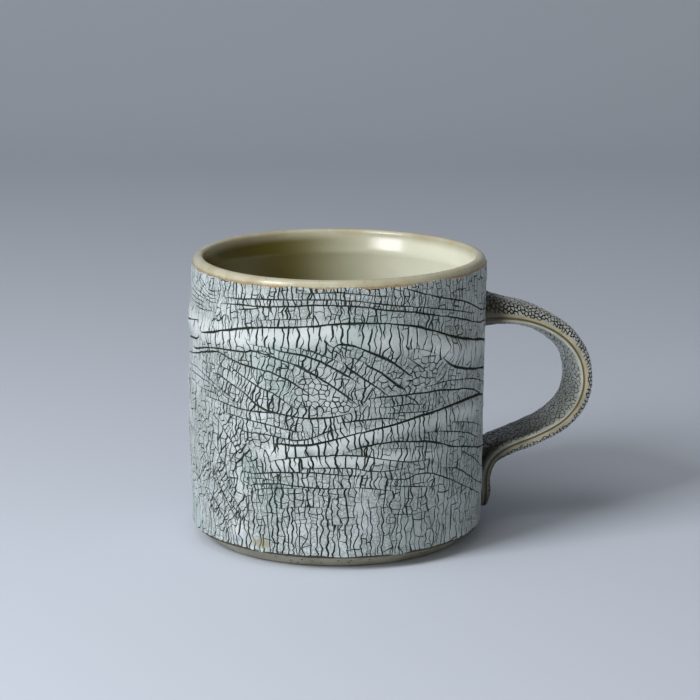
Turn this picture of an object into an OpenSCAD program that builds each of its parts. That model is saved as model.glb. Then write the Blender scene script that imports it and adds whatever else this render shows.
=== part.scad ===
// Stoneware mug, fired as one piece: a round thrown cup with a strap handle luted to its wall.
// The origin is on the cup's axis at the table, +Z is up and the handle points along +X.
// The crackle in the slip coat is under half a millimetre deep and isn't part of this solid.

/* [Cup] */
// Widest outside diameter of the cup
cup_d = 86; // [60:1:130]
// Height from the table to the top of the rim
cup_h = 83; // [64:1:140]
// Thickness of the wall at the rim
wall_t = 3.2; // [2.6:0.1:5]
// How much thicker the wall is where it meets the floor
wall_swell = 1.4; // [0:0.1:4]
// Thickness of the floor
floor_t = 6; // [4:0.5:12]
// How much the radius draws in from the belly to the rim
rim_draw = 0.5; // [0:0.1:3]
// How much the radius draws in from the belly to the foot
foot_draw = 0.8; // [0:0.1:3]
// Height of the widest part of the belly, as a share of the height of the cup
belly = 0.55; // [0.3:0.05:0.7]
// Radius of the corner between the floor and the inside of the wall
inner_fillet = 7; // [1:0.5:16]

/* [Rim and foot] */
// Rounding on the outside of the lip
lip_out_r = 2; // [0.8:0.1:2]
// Rounding on the inside of the lip
lip_in_r = 0.9; // [0.2:0.1:1.2]
// Height of the bare turned band at the foot
foot_h = 4.4; // [1:0.1:8]
// How far that band slopes in to the table
foot_in = 4.2; // [0.5:0.1:8]

/* [Handle] */
// Distance from the cup to the strap's edge line at the widest part of the loop
handle_reach = 31.2; // [22:0.1:50]
// Distance from the rim down to the strap's upper root
handle_drop = 19.8; // [16:0.1:28]
// Height of the low bend, where the strap turns in to the wall
low_bend_z = 25.3; // [20:0.1:34]
// Height of the end of the tail that lies down the wall
tail_z = 5; // [4.5:0.1:9]
// Width of the strap at its upper root
root_w = 21; // [12:0.5:24]
// Width of the strap round the loop and down the tail
strap_w = 15.6; // [10:0.1:22]
// Height of the strap's domed outer face above its edge line
dome_h = 3.7; // [1.5:0.1:5]
// Depth of the strap's inner face below its edge line
inner_h = 2.2; // [1.2:0.1:4]
// How far the edge line stands off the wall along the tail
tail_proud = 1.3; // [0.6:0.1:3]
// Height of the fillet that the upper root draws up the wall
root_flare = 5; // [0:0.1:8]
// Depth of the crease along each edge of the strap
crease_d = 0.5; // [0.1:0.05:1]

/* [Hidden] */

clay = [0.80, 0.83, 0.82];
cup_r = cup_d / 2;
belly_z = belly * cup_h;
// Points drawn up each side of the wall, and round each rounded corner
wall_steps = 14;
corner_steps = 6;

// Outside radius of the cup at a height: a slight barrel, widest at the belly
function cup_radius(z) =
    z > belly_z
        ? cup_r - rim_draw * pow((z - belly_z) / (cup_h - belly_z), 2)
        : cup_r - foot_draw * pow((belly_z - z) / belly_z, 2);

// Inside radius at a height: the wall grows steadily thicker towards the floor
function bore_radius(z) = cup_radius(z) - wall_t - wall_swell * (cup_h - z) / (cup_h - floor_t);

function outside_line(low, high) =
    [for (i = [0 : wall_steps]) let (z = low + (high - low) * i / wall_steps) [cup_radius(z), z]];

function inside_line(high, low) =
    [for (i = [0 : wall_steps]) let (z = high + (low - high) * i / wall_steps) [bore_radius(z), z]];

function corner(centre, r, from, to) =
    [for (i = [0 : corner_steps]) let (a = from + (to - from) * i / corner_steps)
        centre + r * [cos(a), sin(a)]];

lip_out = [cup_radius(cup_h) - lip_out_r, cup_h - lip_out_r];
lip_in = [bore_radius(cup_h) + lip_in_r, cup_h - lip_in_r];
foot_r = cup_radius(foot_h) - foot_in;
fillet_z = floor_t + inner_fillet;
fillet_centre = [bore_radius(fillet_z) - inner_fillet, fillet_z];

// Half of the cup's section: out along the table, up the outside, down the inside to the axis.
module cup_section() {
    polygon(concat(
        [[0, 0], [foot_r, 0]],
        outside_line(foot_h, lip_out[1]),
        corner(lip_out, lip_out_r, 0, 90),
        corner(lip_in, lip_in_r, 90, 180),
        inside_line(lip_in[1], fillet_z),
        corner(fillet_centre, inner_fillet, 0, -90),
        [[0, floor_t]]
    ));
}

module cup() {
    rotate_extrude($fn = 96) cup_section();
}

// The strap's edge line is four cubic curves, laid end to end in the XZ plane.
root_x = cup_r - 0.6 * wall_t;
root_z = cup_h - handle_drop;
tail_x = cup_r + tail_proud;
tail_top_z = tail_z + 0.36 * (low_bend_z - tail_z);

// A point of the loop, from shares across it (wall 0, widest 1) and up it (low bend 0, root 1)
function in_loop(across, up) =
    [cup_r + across * handle_reach, low_bend_z + up * (root_z - low_bend_z)];

root = [root_x, root_z];
widest = in_loop(1, 0.45);
low_bend = in_loop(0.45, 0);
tail_top = [tail_x, tail_top_z];
tail_end = [tail_x, tail_z];
curves = [
    [root, in_loop(0.39, 1.03), in_loop(1, 0.83), widest],
    [widest, in_loop(1, 0.2), in_loop(0.77, 0.08), low_bend],
    [low_bend, in_loop(0.21, -0.06), [tail_x, low_bend_z - 3.4], tail_top],
    [tail_top, 0.7 * tail_top + 0.3 * tail_end, 0.3 * tail_top + 0.7 * tail_end, tail_end]
];
curve_steps = [16, 10, 10, 8];
stops = concat([[0, 0]], [for (c = [0 : 3]) for (i = [1 : curve_steps[c]]) [c, i / curve_steps[c]]]);

function bezier(p, t) =
    pow(1 - t, 3) * p[0] + 3 * t * pow(1 - t, 2) * p[1] + 3 * t * t * (1 - t) * p[2] + pow(t, 3) * p[3];

function bezier_slope(p, t) =
    3 * pow(1 - t, 2) * (p[1] - p[0]) + 6 * t * (1 - t) * (p[2] - p[1]) + 3 * t * t * (p[3] - p[2]);

function ease(t) = let (u = min(max(t, 0), 1)) u * u * (3 - 2 * u);

// Shares that shape the strap at a stop (curve c, share t along it)
function past_root(c, t) = c == 0 ? ease(t / 0.9) : 1;
function flare(c, t) = c == 0 ? pow(1 - min(t / 0.36, 1), 2.4) : 0;
function on_tail(c, t) = c < 2 ? 0 : c == 2 ? ease(t) : 1;
function tip(c, t) = c == 3 ? sqrt(1 - 0.96 * t * t * t) : 1;

// Half width of the strap, and the rise of its outer and inner faces from the edge line
tail_inner_h = tail_proud + 0.5 * wall_t;
function half_width(c, t) =
    (root_w + (strap_w - root_w) * past_root(c, t) + 3 * flare(c, t)) / 2 * (0.4 + 0.6 * tip(c, t));
function outer_rise(c, t) =
    (dome_h + root_flare * flare(c, t)) * (1 - 0.45 * on_tail(c, t)) * tip(c, t);
function inner_rise(c, t) =
    inner_h + (tail_inner_h - inner_h) * on_tail(c, t) + flare(c, t);

// The section is a flat oval with a crease in each edge, drawn through these angles.
section_angles = [0, 5, 14, 28, 46, 68, 90, 112, 134, 152, 166, 175];
section_n = 2 * len(section_angles);
edge_squareness = 0.55;
face_squareness = 0.7;
function rounded(v, squareness) = sign(v) * pow(abs(v), squareness);

// Where the strap meets the cup it is pressed round the wall by this much at a distance y.
function wrap(c, t, y) =
    (sqrt(cup_r * cup_r - y * y) - cup_r) * (c == 0 ? 1 - ease(t / 0.3) : 0.6 * on_tail(c, t));

// One ring of points round the strap, square to its edge line
function ring(c, t) =
    let (
        p = bezier(curves[c], t),
        slope = bezier_slope(curves[c], t),
        out = [-slope[1], slope[0]] / norm(slope)
    )
    [for (face = [0, 180]) for (a = section_angles)
        let (
            w = half_width(c, t) - (a == 0 ? crease_d * past_root(c, t) : 0),
            rise = face == 0 ? outer_rise(c, t) : inner_rise(c, t),
            y = w * rounded(cos(a + face), edge_squareness),
            q = p + rise * rounded(sin(a + face), face_squareness) * out
        )
        [q[0] + wrap(c, t, y), y, q[1]]];

module strap() {
    n = section_n;
    last = len(stops) - 1;
    polyhedron(
        points = [for (s = stops) each ring(s[0], s[1])],
        faces = concat(
            [[for (i = [0 : n - 1]) i]],
            [for (k = [0 : last - 1]) for (i = [0 : n - 1])
                let (a = k * n + i, b = k * n + (i + 1) % n)
                each [[a, a + n, b + n], [a, b + n, b]]],
            [[for (i = [n - 1 : -1 : 0]) last * n + i]]
        ),
        convexity = 6
    );
}

module mug() {
    color(clay) union() {
        cup();
        strap();
    }
}

mug();
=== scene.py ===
# %% Load the fixed frame
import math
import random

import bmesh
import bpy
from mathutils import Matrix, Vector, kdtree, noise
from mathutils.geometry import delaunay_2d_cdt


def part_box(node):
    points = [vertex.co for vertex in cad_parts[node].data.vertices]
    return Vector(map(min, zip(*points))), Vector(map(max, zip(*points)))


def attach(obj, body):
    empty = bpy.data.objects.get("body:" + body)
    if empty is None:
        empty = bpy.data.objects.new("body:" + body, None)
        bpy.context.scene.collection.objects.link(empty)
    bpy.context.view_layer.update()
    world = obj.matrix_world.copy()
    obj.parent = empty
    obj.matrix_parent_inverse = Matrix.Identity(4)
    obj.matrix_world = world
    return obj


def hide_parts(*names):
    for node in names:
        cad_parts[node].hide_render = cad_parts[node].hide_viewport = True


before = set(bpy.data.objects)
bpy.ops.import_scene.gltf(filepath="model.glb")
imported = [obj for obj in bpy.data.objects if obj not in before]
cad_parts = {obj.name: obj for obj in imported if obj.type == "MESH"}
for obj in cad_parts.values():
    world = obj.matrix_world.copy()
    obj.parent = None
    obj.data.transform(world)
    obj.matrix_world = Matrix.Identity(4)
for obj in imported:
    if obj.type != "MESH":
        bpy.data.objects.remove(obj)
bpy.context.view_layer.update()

# %% [markdown]
# # A crackled stoneware mug
# The real mug is a thrown cup with a strap handle, dipped in a thick white slip that shrank and
# cracked as it dried, so that dark clay shows through a net of cracks. Inside it has a clear green
# glaze. The solid model gives the outer sizes, and everything here is measured from its box. Lengths
# are in millimetres until a mesh is finished, because a potter's sizes read best that way.

MM = 0.001
low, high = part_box("mug")
CUP_R = -low[0] / MM
CUP_H = high[2] / MM
ROUND = 2 * math.pi * CUP_R
FRONT = math.radians(-106)
print("cup radius", round(CUP_R, 2), "height", round(CUP_H, 2), "distance round", round(ROUND, 1))

# %% [markdown]
# ## Camera
# Seen from a little above its rim and from some way off, a mug shows its inside and keeps its sides
# upright, so the camera stands well back with a long lens. The view is 16 degrees round from square
# to the handle, which shows the loop and its inner face.

# %% Camera
VIEW_TURN = math.radians(-16)
VIEW_RISE = math.radians(12.66)
VIEW_AWAY = 815.7
AIM_ASIDE, AIM_UP = 4.03, 54.32
back = Vector((math.sin(VIEW_TURN) * math.cos(VIEW_RISE),
               -math.cos(VIEW_TURN) * math.cos(VIEW_RISE),
               math.sin(VIEW_RISE)))
side = Vector((math.cos(VIEW_TURN), math.sin(VIEW_TURN), 0))
aim = side * AIM_ASIDE * MM + Vector((0, 0, AIM_UP * MM))
camera = bpy.data.objects.new("camera", bpy.data.cameras.new("camera"))
camera.data.lens = 144.2
camera.data.sensor_width = 36
camera.data.clip_start = 0.05
camera.location = aim + back * VIEW_AWAY * MM
camera.rotation_euler = back.to_track_quat("Z", "Y").to_euler()
bpy.context.collection.objects.link(camera)
bpy.context.scene.camera = camera

# %% [markdown]
# ## Cup section
# A turned pot is one outline spun round its axis. The outline runs from the middle of the foot, out
# along the table, up the bevel and the wall, over the lip, down inside and back to the axis. It is
# kept as a list of points with the distance along it, so that a flat sheet can be wrapped on it.

# %% Cup section
FOOT_LINE = [(0.0, 0.0), (20.0, 0.0), (36.9, 0.0), (37.5, 0.12), (38.0, 0.5), (40.2, 2.5)]
WALL_FOOT = 3.9
BELLY_Z = 45.65
RIM_DRAW = 0.5
FOOT_DRAW = 0.8
WALL_T = 3.2
WALL_SWELL = 1.4
FLOOR_Z = 6.0
CORNER_R = 7.0
LIP_OUT_R = 2.0
LIP_IN_R = 1.0
LIP_Z = CUP_H - LIP_OUT_R


def ease(t):
    """Rises smoothly from 0 to 1."""
    t = min(max(t, 0.0), 1.0)
    return t * t * (3 - 2 * t)


def cup_radius(z):
    """Outside radius of the wall, a slight barrel."""
    if z > BELLY_Z:
        return CUP_R - RIM_DRAW * ((z - BELLY_Z) / (CUP_H - BELLY_Z)) ** 2
    return CUP_R - FOOT_DRAW * ((BELLY_Z - z) / BELLY_Z) ** 2


def bore_radius(z):
    """Inside radius, so that the wall thickens towards the floor."""
    return cup_radius(z) - WALL_T - WALL_SWELL * (CUP_H - z) / (CUP_H - FLOOR_Z)


def arc(cx, cz, r, start, end, steps):
    """Points on an arc from one angle to another, in degrees."""
    turns = [math.radians(start + (end - start) * i / steps) for i in range(steps + 1)]
    return [(cx + r * math.cos(t), cz + r * math.sin(t)) for t in turns]


def wall_line(radius, start, end, steps):
    """Points up or down a wall whose radius is a function of the height."""
    heights = [start + (end - start) * i / steps for i in range(steps + 1)]
    return [(radius(z), z) for z in heights]


def cup_section():
    """The outline as (radius, height) points, foot centre to floor centre."""
    corner_top = FLOOR_Z + CORNER_R
    points = FOOT_LINE + [(cup_radius(WALL_FOOT) - 0.15, WALL_FOOT - 0.25)]
    points += wall_line(cup_radius, WALL_FOOT, LIP_Z, 60)
    points += arc(cup_radius(CUP_H) - LIP_OUT_R, LIP_Z, LIP_OUT_R, 6, 90, 12)
    points += arc(bore_radius(CUP_H) + LIP_IN_R, CUP_H - LIP_IN_R, LIP_IN_R, 96, 180, 8)
    points += wall_line(bore_radius, CUP_H - 2, corner_top, 30)
    points += arc(bore_radius(corner_top) - CORNER_R, corner_top, CORNER_R, -6, -90, 12)
    return points + [(20.0, FLOOR_Z), (0.0, FLOOR_Z)]


section = cup_section()
along = [0.0]
for (r0, z0), (r1, z1) in zip(section, section[1:]):
    along.append(along[-1] + math.hypot(r1 - r0, z1 - z0))
foot_at = next(s for s, (r, z) in zip(along, section) if z >= WALL_FOOT)
SHEET_LOW = WALL_FOOT - foot_at
SHEET_HIGH = SHEET_LOW + along[-1]
print("section", len(section), "points, sheet from", round(SHEET_LOW, 1), "to", round(SHEET_HIGH, 1))

# %% [markdown]
# ## The crackle map
# The cracks are drawn on the wall as if it were unrolled: x goes round the cup in millimetres from
# the front, y is the height. Slip cracks in an order. The long cracks come first, and follow the
# strokes in which the slip went on. Then short cracks cross each band between two long ones and stop
# where they meet another. Last, a few patches that dried evenly break into small many-sided cells.
# Each long crack is a handful of listed points (degrees from the front, height).

# %% The long cracks
STROKES = [
    # width, then (degrees round from the front, height)
    (0.34, [(26, 80.5), (33, 78.7), (40, 77), (50, 75), (60, 73), (74, 69), (90, 67)]),
    (0.28, [(-14, 79.4), (-6, 79.8), (4, 79.8), (12, 79), (20, 78.4), (25, 77.5)]),
    (0.34, [(-47, 76), (-38, 76.4), (-28, 77.1), (-15, 77.6), (0, 77.9), (12, 77), (22, 75.7),
            (34, 74.4), (50, 72), (66, 69)]),
    (0.40, [(-49, 74), (-38, 74.7), (-26, 75.1), (-14, 75.8), (-3, 76.4), (10, 75.8), (20, 74.4),
            (30, 73.4), (42, 71.3), (55, 69), (70, 65.8), (88, 64)]),
    (0.30, [(-41, 73), (-34, 73.8), (-27, 75)]),
    (0.26, [(-31, 71), (-22, 71.7), (-14, 72.3), (-7, 72.8)]),
    (0.62, [(-95, 58), (-80, 60), (-70, 61), (-66, 62.2), (-64.5, 64)]),
    (0.62, [(-66, 65), (-62, 64), (-55, 65), (-48, 66.3), (-40, 67.7), (-30, 69), (-18, 69.7),
            (-8, 70.4), (2, 71.1), (12, 71.2), (20, 70.7), (28, 69.8), (35, 68.4), (41, 67), (48, 65),
            (58, 62.8), (70, 60.8), (86, 58.5), (100, 58)]),
    (0.40, [(-90, 64), (-80, 65.3), (-70, 66.5), (-66.5, 67), (-65, 65)]),
    (0.45, [(-66.5, 71), (-67, 68), (-65, 65.5)]),
    (0.42, [(-53.5, 71.3), (-53, 68), (-54.5, 65.3)]),
    (0.42, [(-53, 71), (-51, 68.8), (-49.5, 69), (-47, 70.8), (-44.5, 71)]),
    (0.30, [(-70, 70.4), (-62, 70.6), (-53.5, 71.2)]),
    (0.45, [(-100, 53), (-88, 54.5), (-75, 56), (-66, 57.5), (-58, 59), (-50, 59.9), (-44, 59),
            (-37, 57.8), (-30, 57.3), (-24, 56.5), (-18, 55), (-12, 52.4), (-7, 50)]),
    (0.50, [(-74, 57.8), (-66, 58.8), (-58, 60.2), (-50, 61), (-43, 61.4), (-36, 61.5), (-32, 62.2),
            (-26, 61.4), (-18, 60), (-13, 58.5), (-8, 56.8), (-2, 54), (3, 51.4), (9, 47.9)]),
    (0.34, [(-34, 64), (-28, 63.8), (-23, 63.1)]),
    (0.62, [(-24, 63.6), (-20, 62.8), (-13, 62.2), (-7, 60.9), (-2, 59.2), (4, 56.6), (9, 54.4)]),
    (0.34, [(-15, 64.3), (-9, 63.4), (-3, 61.9), (3, 60)]),
    (0.62, [(2.5, 61), (4, 59.3), (8, 57), (13, 54.2), (17, 52.1), (20, 50.3)]),
    (0.30, [(3, 62), (8, 61.3), (11, 60)]),
    (0.66, [(-1, 60.8), (-1, 63.5), (1, 65.4), (4, 65.4), (8, 64.7), (13, 63), (20, 60.6), (25, 58),
            (30, 54.8)]),
    (0.66, [(12, 61.5), (11, 60), (15, 58), (19, 56), (23, 53.4), (27, 51.2), (27.2, 49.4)]),
    (0.30, [(-5, 66.5), (1.5, 66.2)]),
    (0.30, [(28, 63.2), (34, 62.6), (40, 60.6)]),
    (0.36, [(28, 60.6), (32, 58.5), (37, 55.6)]),
    (0.60, [(42.5, 59.4), (46, 57.6), (50, 55.9), (56, 54.6), (62, 53.4), (70, 52.3), (82, 50.6),
            (95, 50)]),
    (0.36, [(42, 59.6), (44.5, 56.8), (46, 54.6)]),
    (0.30, [(34, 51.6), (40, 52), (46, 52.2), (55, 51.4), (66, 50), (80, 46.8), (92, 45.5)]),
    (0.42, [(12, 50), (20, 50.2), (30, 50.1), (40, 50), (50, 49.1), (60, 48), (70, 45.6), (80, 42.6),
            (94, 40)]),
    (0.30, [(13, 47.3), (22, 47.2), (30, 47.3), (37, 46.1)]),
    (0.32, [(5, 49.7), (9, 49.6), (13, 47.2)]),
    (0.30, [(-96, 51), (-82, 52), (-72, 52.8), (-62, 52.3), (-54, 50.9), (-47, 49.2), (-40, 47)]),
    (0.28, [(-90, 49.6), (-74, 50.6), (-62, 50.5), (-53, 49.6), (-46, 47.6), (-38, 46.6)]),
    (0.26, [(-84, 48), (-72, 48.4), (-62, 47.6), (-54, 47.7), (-46, 46.5)]),
    (0.46, [(-55, 53.7), (-49, 53.3), (-43, 51.8), (-37, 50.2), (-31, 47), (-25, 45.6), (-15, 44.6),
            (-7, 44.3), (1, 45.1), (6, 46.2)]),
    (0.36, [(-45, 57.2), (-37, 54.6), (-31, 52.4), (-24, 50.9), (-18, 48.2), (-13, 46.5)]),
    (0.26, [(-52, 56.4), (-44, 55.6), (-38, 53.4)]),
    (0.32, [(-62, 45.9), (-52, 46), (-44, 45.4), (-34, 44.9), (-22, 45.3)]),
    (0.34, [(-47, 43), (-38, 42.6), (-28, 41.9), (-20, 41), (-14, 40.3), (-10.5, 41)]),
    (0.34, [(-40, 39.8), (-37, 38.8), (-28, 38.8), (-20, 38.4), (-15, 38), (-9, 38.7), (-3, 40.6),
            (3, 41.8)]),
    (0.42, [(1, 43.1), (9, 43.7), (18, 43.9), (28, 42.9)]),
    (0.28, [(18, 45.2), (26, 45.1), (33, 44.6), (42, 44.9)]),
    (0.64, [(-24, 36.5), (-16, 36.5), (-9, 36.9), (-3, 38), (5, 39.5), (14, 40.9), (23, 42), (32, 43.3),
            (41, 44.1), (50, 44.8), (60, 45), (72, 44.2), (84, 42.5), (98, 42)]),
    (0.44, [(5, 35.3), (12, 36.3), (21, 37), (30, 36.5), (39, 35.4), (46, 33.7), (52, 32.2), (60, 31),
            (72, 28.7), (90, 26)]),
    (0.32, [(-26, 31), (-18, 32.5), (-9, 33.4), (1, 34), (10, 33.5), (19, 32.1), (28, 30.7),
            (38, 30.5)]),
    (0.26, [(16, 35.3), (24, 35), (31, 34.3)]),
    (0.28, [(35, 38.5), (44, 37.8), (52, 36.6), (62, 34.6), (74, 31)]),
    (0.28, [(47, 40.3), (56, 38.9), (66, 37), (80, 33.4)]),
    (0.40, [(-36, 30.2), (-33, 30.4), (-30.5, 31.8), (-31.5, 34.4)]),
    (0.36, [(-38, 27), (-32, 27), (-25, 27.9), (-16, 28.6), (-6, 28.8), (4, 28.1), (12, 27.8)]),
    (0.28, [(-13, 29.9), (-4, 30.3), (6, 30.1), (14, 28.9), (22, 28.7), (29, 29.1)]),
    (0.32, [(-37, 22.8), (-31, 23.9), (-24, 24.8), (-14, 24.7), (-4, 24.3), (8, 24.5), (16, 23.7),
            (22, 22.8)]),
    (0.26, [(-34, 21.6), (-27, 23.2), (-18, 23.9), (-10, 24.1)]),
    (0.26, [(-38, 25), (-30, 25.8), (-21, 25.7)]),
    (0.34, [(20, 26.4), (27, 25.8), (33, 26.8), (40, 26), (47, 23.8), (55, 20.9), (64, 17.8),
            (78, 13.5)]),
    (0.28, [(17, 24.6), (26, 23.9), (36, 22.8), (43, 22.2)]),
    (0.32, [(45, 27.2), (54, 25.4), (63, 21.8), (74, 18), (90, 14)]),
    (0.28, [(56, 30.4), (68, 26), (82, 21), (96, 19)]),
    (0.24, [(-23, 17.8), (-12, 18.8), (-1, 19)]),
    (0.24, [(-4, 13.5), (5, 13.8), (10, 14.1)]),
    (0.24, [(19, 16.6), (29, 15.4), (38, 15.6)]),
    (0.48, [(-58, 35.8), (-54, 33), (-50, 29.6), (-46.5, 27.3), (-46.5, 25)]),
    (0.50, [(-55, 25), (-52, 22.4), (-48, 18.6), (-44, 15), (-40, 11)]),
    (0.40, [(-47, 18.2), (-42, 15.4), (-38, 12.5)]),
    (0.44, [(-56, 42), (-50, 39.8), (-45, 36.3), (-39, 32)]),
    (0.34, [(-48, 43), (-44, 39.4), (-40, 35), (-36, 31.5)]),
    (0.36, [(-64, 19), (-59, 16.4), (-56, 12.6), (-54, 9.5)]),
    (0.34, [(-70, 33), (-64, 28), (-60, 24.5), (-58, 22.5)]),
    (0.30, [(-66, 23), (-59, 18.6), (-52, 14.5), (-45, 8.8)]),
    (0.28, [(-60, 15.2), (-54, 12), (-48, 7.6)]),
    (0.30, [(-53, 27), (-48, 22), (-42, 18), (-37, 14)]),
    (0.34, [(-66, 30), (-60, 27), (-54, 22), (-50, 18.4)]),
]

# %% [markdown]
# The far side follows the same habit with its own strokes: a broad pale band that winds round below
# the rim, fans of finer lines under it, and one rising line across the lower half.

# %% The far side, and fans of fine lines
STROKES += [
    (0.60, [(98, 58), (112, 57.5), (125, 60), (140, 64), (155, 66), (170, 65), (185, 62), (200, 59.5),
            (222, 58), (246, 57.6), (265, 58)]),
    (0.36, [(88, 64), (105, 64), (120, 67), (138, 71), (156, 72.5), (175, 71), (195, 68), (215, 66.5),
            (240, 64), (268, 63.6)]),
    (0.30, [(90, 67), (110, 69), (130, 74), (150, 76.5), (172, 75.5), (196, 73), (220, 72), (245, 74),
            (262, 76)]),
    (0.28, [(100, 74), (125, 77.8), (150, 79.5), (180, 79), (210, 77), (232, 77.5)]),
    (0.50, [(94, 50.2), (108, 49), (124, 51.5), (140, 55.5), (154, 57.5), (168, 56), (182, 51.5),
            (194, 46.5), (200, 44)]),
    (0.40, [(132, 53.5), (146, 52.5), (158, 49.5), (168, 45.5), (174, 42.5)]),
    (0.40, [(156, 57.2), (172, 51.8), (184, 46), (192, 42)]),
    (0.34, [(92, 45.5), (108, 44), (124, 45.6), (140, 45.8), (152, 43.6), (164, 41)]),
    (0.34, [(196, 55.5), (212, 53), (230, 52.6), (248, 53.4), (262, 53)]),
    (0.34, [(200, 50.5), (216, 48.6), (236, 49.4), (255, 50), (270, 49.8)]),
    (0.60, [(94, 40), (112, 38), (134, 37.2), (156, 37.4), (178, 38.8), (200, 41.2), (222, 43.2),
            (244, 43.6), (266, 42)]),
    (0.34, [(90, 33), (112, 31.5), (136, 32), (160, 32.6), (184, 33.4), (210, 36), (236, 37.6)]),
    (0.32, [(90, 26), (114, 25), (140, 26.6), (168, 27.4), (196, 28.4), (222, 31), (246, 32.6)]),
    (0.32, [(96, 19), (122, 19.6), (150, 21.4), (180, 22), (206, 22.6), (232, 25.4), (252, 27)]),
    (0.26, [(104, 13.6), (134, 14.4), (166, 15.4), (198, 15.6)]),
    (0.44, [(214, 36), (224, 30), (236, 23), (246, 17)]),
    (0.40, [(228, 39), (240, 32), (252, 25), (262, 19)]),
]
FAN_LINES = 4


def add_fan(width, *rays):
    """Lines that spread out. Each ray is degrees, the top line's height, and the drop to the next."""
    for row in range(FAN_LINES):
        STROKES.append((width, [(deg, top - drop * row) for deg, top, drop in rays]))


add_fan(0.24, (-92, 77.4, 1.8), (-80, 76.2, 1.6), (-68, 75.2, 1.2), (-58, 74.4, 0.9))
add_fan(0.26, (-70, 79.6, 1.1), (-63, 78.2, 1.2), (-57, 76.6, 1.0), (-50, 77.4, 1.2))
SLIP_LOW = 4.6
SLIP_HIGH = 80.9
print(len(STROKES), "long cracks, on slip from", SLIP_LOW, "to", SLIP_HIGH)

# %% [markdown]
# Where two strokes of the brush lapped, the slip is thick: a broad band under the rim and another that
# rises across the lower half. Thick slip is whiter, stands a little proud, and cracks into larger
# blocks with wider cracks. Each lap is a line through its middle and half its height.

# %% Where the slip is thick
MAP_START, MAP_END = -95, 265
LAPS = [
    (3.2, [(-95, 66.5), (-75, 65.5), (-60, 65), (-40, 65.3), (-20, 66.8), (0, 68.2), (20, 66.4),
            (30, 65.4), (40, 63), (50, 59.5), (60, 58.5), (75, 58.2), (95, 59.5), (110, 60), (130, 62),
            (155, 65), (175, 66), (200, 64), (230, 64), (265, 66.5)]),
    (2.1, [(-34, 33), (-24, 34), (-10, 35.8), (0, 37.3), (10, 39), (20, 40.5), (35, 41.4), (55, 41.6),
            (75, 40.5)]),
    (2.4, [(110, 40), (150, 40.3), (190, 42), (225, 45)]),
    (2.0, [(-48, 8), (-38, 9), (-30, 7.5)]),
    (1.6, [(-28, 31.4), (0, 32), (25, 32.4), (50, 31)]),
]


def thick(x, y):
    """Thickness of the slip, 0 where it is thin and 1 in the middle of a lap."""
    deg = (x / ROUND * 360 - MAP_START) % 360 + MAP_START
    best = 0.0
    for half_height, line in LAPS:
        first, last = line[0][0], line[-1][0]
        start = (deg - first) / 8 if first > MAP_START else 1.0
        end = (last - deg) / 8 if last < MAP_END else 1.0
        for (a0, z0), (a1, z1) in zip(line, line[1:]):
            if a0 <= deg < a1:
                middle = z0 + (z1 - z0) * ease((deg - a0) / (a1 - a0))
                best = max(best, min(1.0, start, end) * math.exp(-((y - middle) / half_height) ** 4))
    return best


# %% [markdown]
# A crack has to know when it meets another. The wall gets a fine grid of squares, and each crack
# writes its number in the squares that it crosses. A growing crack looks at the square in front of it.

# %% The grid that cracks are marked on
SQUARE = 0.2
SQUARES_ROUND = int(round(ROUND / SQUARE))
SQUARES_UP = int(90 / SQUARE)
MARK_STEP = 0.12
marks = [0] * (SQUARES_ROUND * SQUARES_UP)
cracks = []
dice = random.Random(11)


def square_at(x, y):
    row = min(max(int(y / SQUARE), 0), SQUARES_UP - 1)
    return row * SQUARES_ROUND + int((x % ROUND) / ROUND * SQUARES_ROUND) % SQUARES_ROUND


def mark(points, number):
    """Write a crack's number along its whole length, three squares wide."""
    for (x0, y0), (x1, y1) in zip(points, points[1:]):
        steps = max(1, int(math.hypot(x1 - x0, y1 - y0) / MARK_STEP))
        for i in range(steps + 1):
            x, y = x0 + (x1 - x0) * i / steps, y0 + (y1 - y0) * i / steps
            for ox in (-SQUARE, 0, SQUARE):
                for oy in (-SQUARE, 0, SQUARE):
                    marks[square_at(x + ox, y + oy)] = number


def wobble(x, y, size, reach):
    """Smooth noise that joins up where the wall closes on itself."""
    turn = x / CUP_R
    spot = Vector((math.cos(turn) * CUP_R, math.sin(turn) * CUP_R, y)) / size
    return noise.noise(spot) * reach


# %% [markdown]
# A crack is kept as its points, half its width at each point, and its full width. It widens and
# narrows by noise and tapers at a loose end. Once the long cracks are in, a new one that would lie
# along an older one is dropped.

# %% Keeping a crack
THINNEST = 0.1
BLUNTEST = 0.25
JOINED, LOOSE = 1.0, 0.05


def end_at(met):
    """How a crack ends: full where it meets another, and thin where it runs out."""
    return JOINED if met else LOOSE


def add_crack(points, width, start=JOINED, end=JOINED, taper_over=2.2):
    """Keep a crack, with the share of its width at its start and at its end."""
    inner = points[1:-1]
    over_others = sum(1 for p in inner if marks[square_at(*p)])
    if len(cracks) > len(STROKES) and len(inner) > 1 and over_others > 0.3 * len(inner):
        return
    length = sum(math.dist(p, q) for p, q in zip(points, points[1:]))
    gone, halves = 0.0, []
    for i, p in enumerate(points):
        if i:
            gone += math.dist(points[i - 1], p)
        taper = min(1.0, start + gone / taper_over, end + (length - gone) / taper_over)
        uneven = 1 + 0.45 * wobble(p[0] + 7, p[1], 2.6, 1.6)
        halves.append(max(0.6 * width * uneven, THINNEST) * max(taper, BLUNTEST))
    cracks.append((points, halves, width))
    mark(points, len(cracks))


def total_length():
    return round(sum(math.dist(p, q) for line, _, _ in cracks for p, q in zip(line, line[1:])))
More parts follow.
